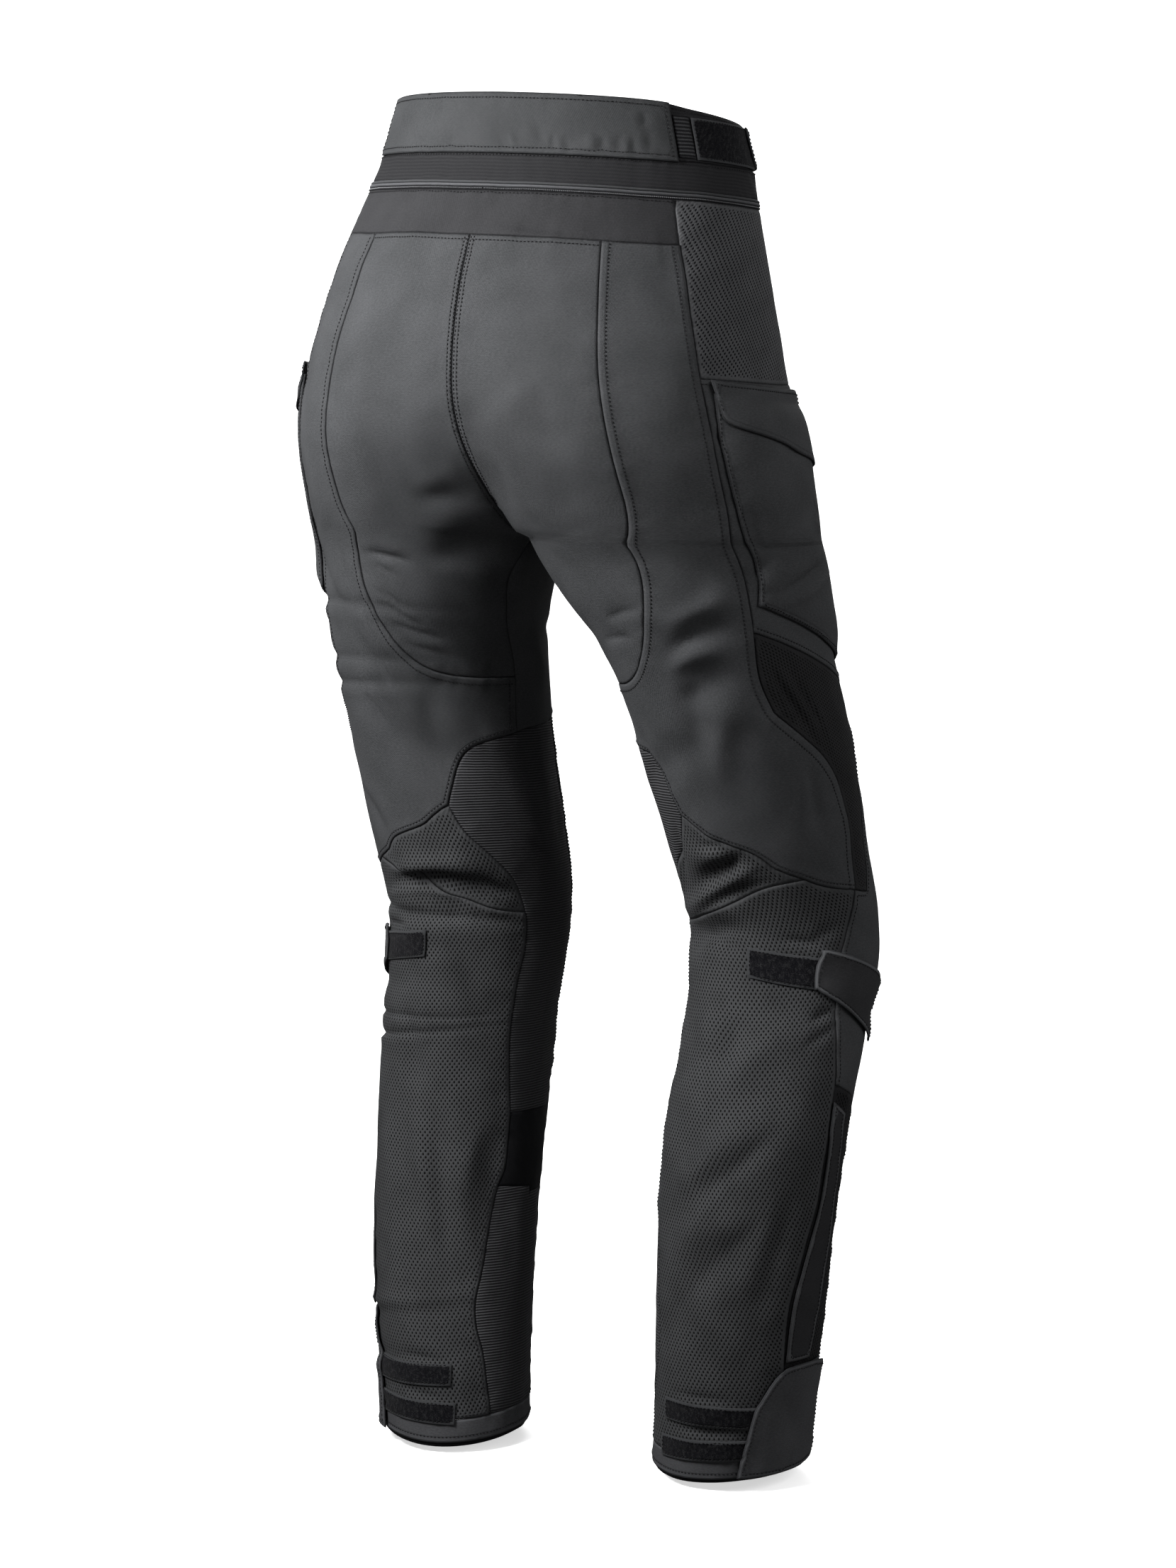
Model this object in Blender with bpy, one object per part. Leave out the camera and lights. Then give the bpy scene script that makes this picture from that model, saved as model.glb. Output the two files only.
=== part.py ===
"""Touring motorcycle trousers in their worn shape, built panel by panel.

Metres, +Z up. The front faces -Y and the wearer's right side is -X. The origin is the centre of the waist
opening. A point of the cloth is given by its share of the way round (0 at centre front, over the outer side,
to 1 at centre back) and its level below the waist. Seams are drawn in those two numbers, on the flat pattern.
"""
import math

import bmesh
import bpy
import numpy as np
from mathutils import Vector
from mathutils.geometry import delaunay_2d_cdt

# Driving sizes
WALL = 0.0016
PATCH_WALL = 0.0012
SEAM_GAP = 0.0003
LAY_GAP = 0.0003
SEAM_STEP = 0.026
CLOTH_STEP = 0.030
JOIN_REACH = 0.0035
SPARE = 0.62
HEM_LEVEL = -1.080
PATTERN_WIDTH = 0.500
LOWEST_ROW = -1.090
CROTCH_LEVEL = -0.335
CROTCH_BACK = 0.030
FORK_RISE = 0.120
HIP_TILT = 0.070
TILT_END = -0.600
TILT_SPAN = 0.500
CENTRE_GAP = 0.0002
POCKET_PUFF = 0.0065
PUFF_REACH = 0.028
ARC = 0.5523
FOLD_EASE = 0.35
BESIDE_FOLD = 1.3
CORNER = 0.78
NEAR = 1e-4
PAST_EDGE = 1e-3
LOOK_ASIDE = 4e-4
CUT_SCALE = 1000.0
FLAT_CORNER = 0.2
LONGEST_PULL = 2.5
SHARP_ANGLE = 40.0
LEG_ROWS = 300
FORK_ROWS = 60
HIP_ROWS = 100
COLUMNS = 241
ARC_STEPS = 24
LINE_STEPS = 4
FORK_STEPS = 9
FOLD_POINTS = 6
FOLD_MARGIN = 0.15
GRID_TOP = 0.010
TINY = 1e-9
PARALLEL = 1e-12
LAID_MARK = 100
DIGITS = 5

# Body form of one half, x outward from the middle and y to the back:
# level, middle of the tube, its reach outward, forward, back and inward, and the centre front and back line.
BODY_COLUMNS = ("level", "mid_x", "mid_y", "out", "front", "back", "inner", "centre_front", "centre_back")
BODY = np.array((
    (0.012, 0.000, -0.019, 0.145, 0.105, 0.110, 0.000, -0.124, 0.091),
    (-0.040, 0.000, -0.016, 0.161, 0.110, 0.116, 0.000, -0.126, 0.100),
    (-0.080, 0.004, -0.006, 0.168, 0.116, 0.126, 0.004, -0.121, 0.120),
    (-0.140, 0.020, 0.008, 0.169, 0.124, 0.138, 0.020, -0.113, 0.146),
    (-0.200, 0.050, 0.014, 0.152, 0.128, 0.144, 0.050, -0.106, 0.158),
    (-0.260, 0.075, 0.009, 0.137, 0.122, 0.144, 0.075, -0.100, 0.153),
    (-0.310, 0.088, -0.001, 0.128, 0.112, 0.129, 0.088, -0.092, 0.130),
    (-0.350, 0.101, -0.010, 0.117, 0.104, 0.112, 0.093, -0.085, 0.105),
    (-0.385, 0.115, -0.017, 0.102, 0.098, 0.105, 0.093, -0.085, 0.105),
    (-0.420, 0.124, -0.026, 0.092, 0.092, 0.098, 0.089, -0.085, 0.105),
    (-0.500, 0.129, -0.047, 0.086, 0.086, 0.088, 0.086, -0.085, 0.105),
    (-0.580, 0.133, -0.068, 0.083, 0.082, 0.081, 0.083, -0.085, 0.105),
    (-0.660, 0.139, -0.087, 0.078, 0.079, 0.075, 0.078, -0.085, 0.105),
    (-0.740, 0.143, -0.070, 0.075, 0.075, 0.073, 0.075, -0.085, 0.105),
    (-0.820, 0.143, -0.049, 0.074, 0.072, 0.072, 0.074, -0.085, 0.105),
    (-0.920, 0.139, -0.034, 0.070, 0.068, 0.068, 0.070, -0.085, 0.105),
    (-1.090, 0.125, -0.018, 0.060, 0.063, 0.063, 0.060, -0.085, 0.105),
))

# Stance: how far each leg stands out and back from the even pose, the weight on the left leg.
STANCE_COLUMNS = ("level", "right_out", "right_back", "left_out", "left_back")
STANCE = np.array((
    (-0.335, 0.000, 0.000, 0.000, 0.000),
    (-0.420, 0.008, -0.001, 0.003, -0.001),
    (-0.500, 0.018, -0.004, 0.003, -0.003),
    (-0.660, 0.018, -0.016, -0.018, 0.013),
    (-0.820, 0.022, 0.012, -0.010, -0.017),
    (-1.090, 0.025, 0.000, -0.026, 0.018),
))

# Largest folds: side (-1 right, 1 left, 0 both), both ends as share round and level, half width, depth.
# A negative depth is a trough.
FOLD_COLUMNS = ("side", "round_a", "level_a", "round_b", "level_b", "width", "depth")
FOLDS = (
    (1, 0.66, -0.632, 0.90, -0.640, 0.011, -0.0070),
    (1, 0.68, -0.612, 0.88, -0.616, 0.011, 0.0035),
    (1, 0.64, -0.664, 0.86, -0.660, 0.013, 0.0030),
    (-1, 0.72, -0.650, 0.93, -0.664, 0.011, -0.0075),
    (-1, 0.76, -0.630, 0.93, -0.640, 0.011, 0.0045),
    (-1, 0.80, -0.680, 0.95, -0.684, 0.012, 0.0025),
    (0, 0.70, -0.490, 0.90, -0.535, 0.016, -0.0030),
    (1, 0.62, -0.330, 0.74, -0.420, 0.014, -0.0030),
    (-1, 0.62, -0.760, 0.90, -0.860, 0.018, -0.0030),
    (1, 0.70, -0.760, 0.78, -0.960, 0.018, -0.0030),
    (0, 0.03, -0.740, 0.94, -0.700, 0.012, -0.0025),
    (0, 0.10, -0.350, 0.30, -0.330, 0.016, -0.0040),
    (0, 0.06, -0.320, 0.26, -0.290, 0.016, 0.0030),
)

# Seam lines on the pattern, each point a share round and a level
BAND_LOW = -0.036
TAPE_TOP = -0.0595
TAPE_LOW = -0.0665
YOKE_LOW = -0.102
SEAT_TOP = -0.112
HIP_LOW = -0.2045
RIB_TOP_LEVEL = -0.494
PATCH_TOP = -0.822
PATCH_LOW = -0.888
HEM_TOP = -1.061
TIES = (HEM_TOP, PATCH_LOW, PATCH_TOP, RIB_TOP_LEVEL)
CENTRE_LEVELS = (-0.190, -0.165, -0.140, -0.120, YOKE_LOW, -0.085, TAPE_LOW, TAPE_TOP, BAND_LOW, -0.015)
PAST = 0.05
TOP = 0.030
BELOW = -1.200

WAIST_EDGE = ((-PAST, -0.006), (0.00, -0.006), (0.25, -0.005), (0.45, 0.000), (0.60, 0.005),
              (0.70, 0.009), (1.00, 0.010), (1 + PAST, 0.010))
HEM_EDGE = ((-PAST, -1.079), (0.00, -1.079), (0.30, -1.078), (0.60, -1.080), (0.80, -1.084),
            (1.00, -1.079), (1 + PAST, -1.079))
INSEAM = ((0.945, -0.530), (0.947, -0.495), (0.955, -0.4525), (0.960, -0.420), (0.970, -0.373),
          (0.985, -0.350), (1.001, -0.336), (1 + PAST, -0.300))
OUTER_SEAM = ((0.661, -0.060), (0.652, -0.102), (0.645, -0.132), (0.637, -0.200), (0.629, -0.250),
              (0.631, -0.304), (0.643, -0.350), (0.633, -0.404), (0.625, -0.433), (0.615, -0.470),
              (0.577, -0.491), (0.546, -0.508), (0.527, -0.533), (0.523, -0.564), (0.530, -0.592),
              (0.541, -0.619))
THIGH_LOW = ((0.541, -0.619), (0.600, -0.614), (0.640, -0.606), (0.672, -0.599), (0.702, -0.587),
             (0.762, -0.576), (0.790, -0.566), (0.815, -0.558))
SEAT_SEAM = ((0.955, -0.4525), (0.900, -0.4525), (0.845, -0.450), (0.808, -0.441), (0.788, -0.424),
             (0.775, -0.395), (0.765, -0.358), (0.761, -0.320), (0.768, -0.280), (0.775, -0.240),
             (0.779, -0.200), (0.778, -0.150), (0.778, -0.102), (0.778, -0.090))
CALF_FRONT = ((0.541, -0.619), (0.565, -0.645), (0.583, -0.668), (0.580, -0.700), (0.562, -0.740),
              (0.545, -0.771), (0.538, -0.800), (0.537, -0.829), (0.542, -0.862), (0.557, -0.885),
              (0.573, -0.916), (0.584, -0.940), (0.584, -0.965), (0.579, -0.995), (0.579, BELOW))
STRIP_LOW = ((0.360, -0.458), (0.421, -0.447), (0.530, -0.424), (0.633, -0.404), (0.680, -0.396))
RIB_TOP = ((1 + PAST, RIB_TOP_LEVEL), (1.000, RIB_TOP_LEVEL), (0.941, -0.499), (0.874, -0.508),
           (0.844, -0.522), (0.824, -0.545), (0.815, -0.558))
RIB_BACK = ((0.815, -0.558), (0.835, -0.580), (0.870, -0.600), (0.905, -0.622), (0.922, -0.650),
            (0.924, -0.682), (0.915, -0.713), (0.912, -0.754), (0.918, -0.790), (0.928, -0.821))
LOW_RIB_BACK = ((0.917, -0.881), (0.902, -0.914), (0.890, -0.945), (0.877, -0.972), (0.880, -0.993),
                (0.895, -1.014), (0.908, -1.045), (0.915, -1.070), (0.915, BELOW))
RIB_FRONT = 0.083

# Panels, lowest layer first: a later outline covers an earlier one where they cross.
PANELS = (
    ("front", ((-PAST, TOP), (1 + PAST, TOP), (1 + PAST, -0.550), (-PAST, -0.550))),
    ("knee_front", ((-PAST, -0.600), (0.030, -0.560), (0.063, -0.490), (0.200, -0.478), (0.320, -0.476),
                    (0.400, -0.476), (0.600, -0.476), (0.600, -0.790), (0.545, -0.790), (0.300, -0.805),
                    (0.083, -0.795), (-PAST, -0.795))),
    ("shin", ((-PAST, -0.795), (0.083, -0.795), (0.300, -0.805), (0.545, -0.790), (1 + PAST, -0.790),
              (1 + PAST, BELOW), (-PAST, BELOW))),
    ("side_panel", ((0.360, HIP_LOW), (0.700, HIP_LOW)) + STRIP_LOW[::-1]),
    ("hip_mesh", ((0.360, -0.040), (0.360, HIP_LOW), (0.700, HIP_LOW), (0.700, -0.040))),
    ("thigh_mesh", STRIP_LOW + ((0.680, -0.600), (0.541, -0.619), (0.505, -0.622), (0.475, -0.585),
                                (0.448, -0.535), (0.420, -0.492))),
    ("calf_mesh", ((0.541, -0.600),) + CALF_FRONT + ((1 + PAST, BELOW), (1 + PAST, -0.600))),
    ("knee_pit", ((0.630, -0.608), (0.698, -0.616), (0.764, -0.630), (0.820, -0.640), (0.878, -0.648),
                  (0.960, -0.652), (0.960, -0.540), (0.630, -0.540))),
    ("thigh_back", OUTER_SEAM + THIGH_LOW[1:] + ((0.860, -0.552), (0.945, -0.530)) + INSEAM[1:]
     + ((1 + PAST, -0.060),)),
    ("seat", SEAT_SEAM[::-1] + INSEAM[3:] + ((1 + PAST, -0.090),)),
    ("yoke", ((0.661, -0.060), (0.652, YOKE_LOW), (1 + PAST, YOKE_LOW), (1 + PAST, -0.060))),
    ("gusset", ((0.545, -0.771), (0.440, -0.790), (0.430, -0.880), (0.430, -0.995)) + CALF_FRONT[13:4:-1]),
    ("inner_rib", RIB_TOP + RIB_BACK[1:] + ((1 + PAST, PATCH_TOP),)),
    ("inner_rib", ((-PAST, RIB_TOP_LEVEL), (0.000, RIB_TOP_LEVEL), (0.063, -0.490), (0.072, -0.520),
                   (0.080, -0.700), (RIB_FRONT, PATCH_TOP), (-PAST, PATCH_TOP))),
    ("inner_patch", ((1 + PAST, PATCH_TOP), (0.928, -0.821), (0.930, -0.862), (0.917, -0.881),
                     (1 + PAST, PATCH_LOW))),
    ("inner_patch", ((-PAST, PATCH_TOP), (RIB_FRONT, PATCH_TOP), (RIB_FRONT, -0.892), (-PAST, PATCH_LOW))),
    ("inner_low", ((1 + PAST, PATCH_LOW),) + LOW_RIB_BACK + ((1 + PAST, BELOW),)),
    ("inner_low", ((-PAST, PATCH_LOW), (RIB_FRONT, -0.892), (RIB_FRONT, BELOW), (-PAST, BELOW))),
    ("hem_band", ((-PAST, HEM_TOP), (0.500, HEM_TOP), (0.800, -1.066), (1.000, HEM_TOP), (1 + PAST, HEM_TOP),
                  (1 + PAST, BELOW), (-PAST, BELOW))),
    ("zip_tape", ((-PAST, TAPE_TOP), (1 + PAST, TAPE_TOP), (1 + PAST, TAPE_LOW), (-PAST, TAPE_LOW))),
    ("lower_band", ((-PAST, BAND_LOW), (1 + PAST, BAND_LOW), (1 + PAST, TAPE_TOP), (-PAST, TAPE_TOP))),
    ("waistband", ((-PAST, TOP), (1 + PAST, TOP), (1 + PAST, BAND_LOW), (-PAST, BAND_LOW))),
)

# Pieces that lie on the panels: name, wall, layer, outline. A higher layer lies on the lower ones.
LAID = (
    ("waist_back", WALL, 1, ((0.657, TOP), (0.652, BAND_LOW - 0.001), (1 + PAST, BAND_LOW - 0.001),
                             (1 + PAST, TOP))),
    ("waist_elastic", PATCH_WALL, 1, ((0.650, -0.001), (0.648, -0.033), (0.616, -0.033), (0.618, -0.001))),
    ("waist_loop", PATCH_WALL, 1, ((0.612, -0.002), (0.612, -0.034), (0.410, -0.035), (0.410, -0.003))),
    ("waist_tab", WALL, 2, ((0.435, -0.003), (0.427, -0.034), (0.300, -0.034), (0.300, -0.004))),
    ("pocket", WALL, 1, ((0.618, -0.216), (0.380, -0.221), (0.372, -0.330), (0.366, -0.436), (0.428, -0.426),
                         (0.540, -0.401), (0.626, -0.382), (0.616, -0.300))),
    ("pocket_flap", WALL, 2, ((0.622, -0.206), (0.615, -0.224), (0.600, -0.240), (0.500, -0.255),
                              (0.406, -0.270), (0.368, -0.273), (0.372, -0.210))),
    ("knee_loop", PATCH_WALL, 1, ((0.745, -0.665), (0.742, -0.688), (0.608, -0.698), (0.605, -0.674))),
    ("knee_tab", WALL, 2, ((0.628, -0.679), (0.622, -0.671), (0.606, -0.667), (0.480, -0.688),
                           (0.425, -0.702), (0.425, -0.744), (0.450, -0.742), (0.560, -0.712),
                           (0.618, -0.698), (0.628, -0.692))),
    ("placket", WALL, 1, ((0.540, -0.785), (0.533, -0.829), (0.538, -0.862), (0.553, -0.888), (0.568, -0.916),
                          (0.578, -0.942), (0.578, -0.988), (0.515, -0.988), (0.506, -0.940), (0.494, -0.890),
                          (0.490, -0.840), (0.502, -0.795))),
    ("cuff_loop_upper", PATCH_WALL, 1, ((0.830, -1.022), (0.828, -1.039), (0.605, -1.041), (0.605, -1.024))),
    ("cuff_loop_lower", PATCH_WALL, 1, ((0.838, -1.053), (0.836, -1.070), (0.605, -1.066), (0.605, -1.050))),
    ("cuff_flap", WALL, 2, ((0.574, -0.993), (0.633, -1.024), (0.641, -1.043), (0.655, -1.080),
                            (0.640, -1.0805), (0.420, -1.0775), (0.400, -1.060), (0.400, -1.010),
                            (0.430, -0.998))),
    ("fly", WALL, 1, ((-PAST, -0.038), (0.045, -0.038), (0.045, -0.170), (0.030, -0.195), (-PAST, -0.212))),
)
RINGS = ("yoke", "zip_tape", "lower_band", "waist_back", "fly")
LEFT_ONLY = ("fly",)
STRAIGHT = {"waist_elastic", "waist_loop", "waist_tab", "knee_loop", "cuff_loop_upper", "cuff_loop_lower"}

# Cloth colours, roughness
CLOTH = {
    "shell": ((0.058, 0.059, 0.062), 0.78),
    "light_shell": ((0.085, 0.087, 0.092), 0.76),
    "band": ((0.032, 0.032, 0.034), 0.82),
    "mesh": ((0.045, 0.046, 0.048), 0.70),
    "rib": ((0.022, 0.022, 0.024), 0.80),
    "loop": ((0.010, 0.010, 0.011), 0.95),
    "hem": ((0.040, 0.041, 0.043), 0.72),
}
CLOTH_OF = {
    "hip_mesh": "mesh", "thigh_mesh": "mesh", "calf_mesh": "mesh", "knee_pit": "mesh", "gusset": "mesh",
    "inner_rib": "rib", "inner_low": "rib", "inner_patch": "loop", "waist_loop": "loop", "knee_loop": "loop",
    "cuff_loop_upper": "loop", "cuff_loop_lower": "loop", "waist_back": "light_shell", "waistband": "band",
    "lower_band": "band", "zip_tape": "hem", "hem_band": "hem", "waist_elastic": "band",
}


def soft_step(value):
    """Soft step from 0 to 1 of a number or an array."""
    share = np.clip(value, 0.0, 1.0)
    return share * share * (3 - 2 * share)


def table_row(table, level):
    """Values of a table at one level, on a smooth curve through its rows."""
    rows = table[::-1]
    levels = rows[:, 0]
    values = rows[:, 1:]
    level = min(max(level, levels[0]), levels[-1])
    low = int(min(max(np.searchsorted(levels, level) - 1, 0), len(levels) - 2))
    step = levels[low + 1] - levels[low]
    share = (level - levels[low]) / step

    def slope(index):
        """Slope of the curve at one row."""
        first = max(index - 1, 0)
        last = min(index + 1, len(levels) - 1)
        return step * (values[last] - values[first]) / (levels[last] - levels[first])

    square, cube = share ** 2, share ** 3
    return ((2 * cube - 3 * square + 1) * values[low] + (cube - 2 * square + share) * slope(low)
            + (3 * square - 2 * cube) * values[low + 1] + (cube - square) * slope(low + 1))


def arc(start, lead, tail, end, count=ARC_STEPS):
    """Points of one curved quarter of a section."""
    share = np.linspace(0, 1, count + 1)[:, None]
    rest = 1 - share
    return rest ** 3 * start + 3 * rest ** 2 * share * lead + 3 * rest * share ** 2 * tail + share ** 3 * end


def section(level, side):
    """Outline of one half at one level, from centre front or inseam round the outside to the back."""
    size = dict(zip(BODY_COLUMNS[1:], table_row(BODY, level)))
    mid_x, mid_y = size["mid_x"], size["mid_y"]
    rise = level - CROTCH_LEVEL
    shift = np.zeros(2)
    if rise > 0:
        fall = 1 - min(rise / FORK_RISE, 1.0)
        spread = math.sqrt(1 - fall ** 2)
        start = np.array((0.0, CROTCH_BACK + (size["centre_front"] - CROTCH_BACK) * spread))
        end = np.array((0.0, CROTCH_BACK + (size["centre_back"] - CROTCH_BACK) * spread))
    else:
        fall = 1.0
        blend = soft_step(-rise / FORK_RISE)
        stance = dict(zip(STANCE_COLUMNS[1:], table_row(STANCE, level)))
        word = "right" if side < 0 else "left"
        shift = np.array((stance[word + "_out"], stance[word + "_back"]))
        start = np.array((mid_x - size["inner"], CROTCH_BACK + (mid_y - CROTCH_BACK) * blend))
        end = start.copy()
    fore = np.array((mid_x, mid_y - size["front"]))
    outer = np.array((mid_x + size["out"], mid_y))
    rear = np.array((mid_x, mid_y + size["back"]))
    along = np.array((1.0, 0.0))
    across = np.array((0.0, 1.0))
    lead = (fore - start) * (1 - fall, fall)
    tail = (end - rear) * (1 - fall, fall)
    outline = np.concatenate((
        arc(start, start + ARC * lead, fore - ARC * (fore - start) * along, fore)[:-1],
        arc(fore, fore + ARC * size["out"] * along, outer - ARC * size["front"] * across, outer)[:-1],
        arc(outer, outer + ARC * size["back"] * across, rear + ARC * size["out"] * along, rear)[:-1],
        arc(rear, rear + ARC * (end - rear) * along, end - ARC * tail, end)))
    return outline + shift


class Form:
    """The cloth surface of one half, as a fine table of points with outward normals."""

    def __init__(self, side):
        self.side = side
        leg = np.linspace(LOWEST_ROW, CROTCH_LEVEL, LEG_ROWS)
        fork = CROTCH_LEVEL + FORK_RISE * np.linspace(0, 1, FORK_ROWS) ** 2
        hips = np.linspace(CROTCH_LEVEL + FORK_RISE, BODY[0][0], HIP_ROWS)
        self.levels = np.unique(np.concatenate((leg, fork, hips)))
        self.shares = np.linspace(0, 1, COLUMNS)
        rows = []
        lengths = []
        for level in self.levels:
            outline = section(level, side)
            run = np.concatenate(((0.0,), np.cumsum(np.hypot(*np.diff(outline, axis=0).T))))
            lengths.append(run[-1])
            x = np.interp(self.shares * run[-1], run, outline[:, 0])
            y = np.interp(self.shares * run[-1], run, outline[:, 1])
            if level < SEAT_TOP:
                x = np.maximum(x, CENTRE_GAP)
            tilt = HIP_TILT * soft_step((level - TILT_END) / TILT_SPAN)
            rows.append(np.stack((x * side, y, level + tilt * x * side), axis=1))
        self.lengths = np.array(lengths)
        self.points = np.array(rows)
        self.normals = self.facing()
        self.points = self.points + self.normals * self.folds()[:, :, None]
        self.normals = self.facing()

    def facing(self):
        """Outward normals of the table of points."""
        up = np.gradient(self.points, axis=0)
        onward = np.gradient(self.points, axis=1)
        legs = self.levels < CROTCH_LEVEL
        closing = self.points[legs][:, 1] - self.points[legs][:, -2]
        onward[legs, 0] = closing
        onward[legs, -1] = closing
        normal = np.cross(onward, up) * self.side
        return normal / np.linalg.norm(normal, axis=2, keepdims=True)

    def unrolled(self, share, level):
        """A point of the cloth unrolled from the side line, at its true length."""
        return np.array(((share - 0.5) * np.interp(level, self.levels, self.lengths), level))

    def folds(self):
        """Height of the large folds over the table of points."""
        width = self.lengths[:, None]
        across = (self.shares[None, :] - 0.5) * width
        level = np.repeat(self.levels[:, None], len(self.shares), axis=1)
        total = np.zeros(across.shape)
        for row in FOLDS:
            fold = dict(zip(FOLD_COLUMNS, row))
            if fold["side"] not in (0, self.side):
                continue
            a = self.unrolled(fold["round_a"], fold["level_a"])
            b = self.unrolled(fold["round_b"], fold["level_b"])
            run = b - a
            span = np.hypot(*run)
            run = run / span
            along = (across - a[0]) * run[0] + (level - a[1]) * run[1]
            away = (level - a[1]) * run[0] - (across - a[0]) * run[1]
            ends = soft_step(np.minimum(along, span - along) / (span * FOLD_EASE))
            total += fold["depth"] * ends * np.exp(-(away / fold["width"]) ** 2)
        return total

    def place(self, across, level):
        """World point and outward normal of a pattern point."""
        row = float(np.interp(level, self.levels, np.arange(len(self.levels))))
        row = min(row, len(self.levels) - 1 - PAST_EDGE)
        column = float(np.clip(across / PATTERN_WIDTH + 0.5, 0, 1)) * (len(self.shares) - 1)
        column = min(column, len(self.shares) - 1 - PAST_EDGE)
        i, j = int(row), int(column)
        s, t = row - i, column - j

        def mix(grid):
            """Value between the table's four nearest points."""
            return ((1 - s) * ((1 - t) * grid[i, j] + t * grid[i, j + 1])
                    + s * ((1 - t) * grid[i + 1, j] + t * grid[i + 1, j + 1]))

        normal = mix(self.normals)
        return mix(self.points), normal / np.linalg.norm(normal)


def flat(share, level):
    """Pattern coordinates of a point of the cloth, measured across from the side line."""
    return np.array(((share - 0.5) * PATTERN_WIDTH, level))


def smooth_line(points, closed=False):
    """More points along an outline, on a soft curve through those given."""
    knots = [np.array(point) for point in points]
    count = len(knots)
    line = []
    for index in range(count if closed else count - 1):
        a = knots[(index - 1) % count] if closed or index else knots[0]
        b, c = knots[index], knots[(index + 1) % count]
        d = knots[(index + 2) % count] if closed or index + 2 < count else c
        turn_b = np.dot(b - a, c - b) > CORNER * np.hypot(*(b - a)) * np.hypot(*(c - b))
        turn_c = np.dot(c - b, d - c) > CORNER * np.hypot(*(c - b)) * np.hypot(*(d - c))
        lead = (c - a) / 6 if turn_b else (c - b) / 3
        tail = (d - b) / 6 if turn_c else (c - b) / 3
        line.extend(arc(b, b + lead, c - tail, c, LINE_STEPS)[:-1])
    if not closed:
        line.append(knots[-1])
    return np.array(line)


def resample(line, step):
    """Even points along a pattern line, its corners kept."""
    keep = [0]
    for index in range(1, len(line) - 1):
        before = line[index] - line[index - 1]
        after = line[index + 1] - line[index]
        if np.dot(before, after) < CORNER * np.hypot(*before) * np.hypot(*after):
            keep.append(index)
    keep.append(len(line) - 1)
    result = [line[0]]
    for first, last in zip(keep, keep[1:]):
        part = line[first:last + 1]
        run = np.concatenate(((0.0,), np.cumsum(np.hypot(*np.diff(part, axis=0).T))))
        count = max(1, round(run[-1] / step))
        for mark in np.linspace(0, run[-1], count + 1)[1:]:
            result.append(np.array((np.interp(mark, run, part[:, 0]), np.interp(mark, run, part[:, 1]))))
    return np.array(result)


def inside(outline, points):
    """Which of the points lie inside a closed outline."""
    x, y = points[:, 0], points[:, 1]
    found = np.zeros(len(points), bool)
    for (ax, ay), (bx, by) in zip(outline, np.roll(outline, -1, axis=0)):
        crosses = (ay > y) != (by > y)
        with np.errstate(divide="ignore", invalid="ignore"):
            reach = (bx - ax) * (y - ay) / (by - ay) + ax
        found ^= crosses & (x < reach)
    return found


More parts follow.
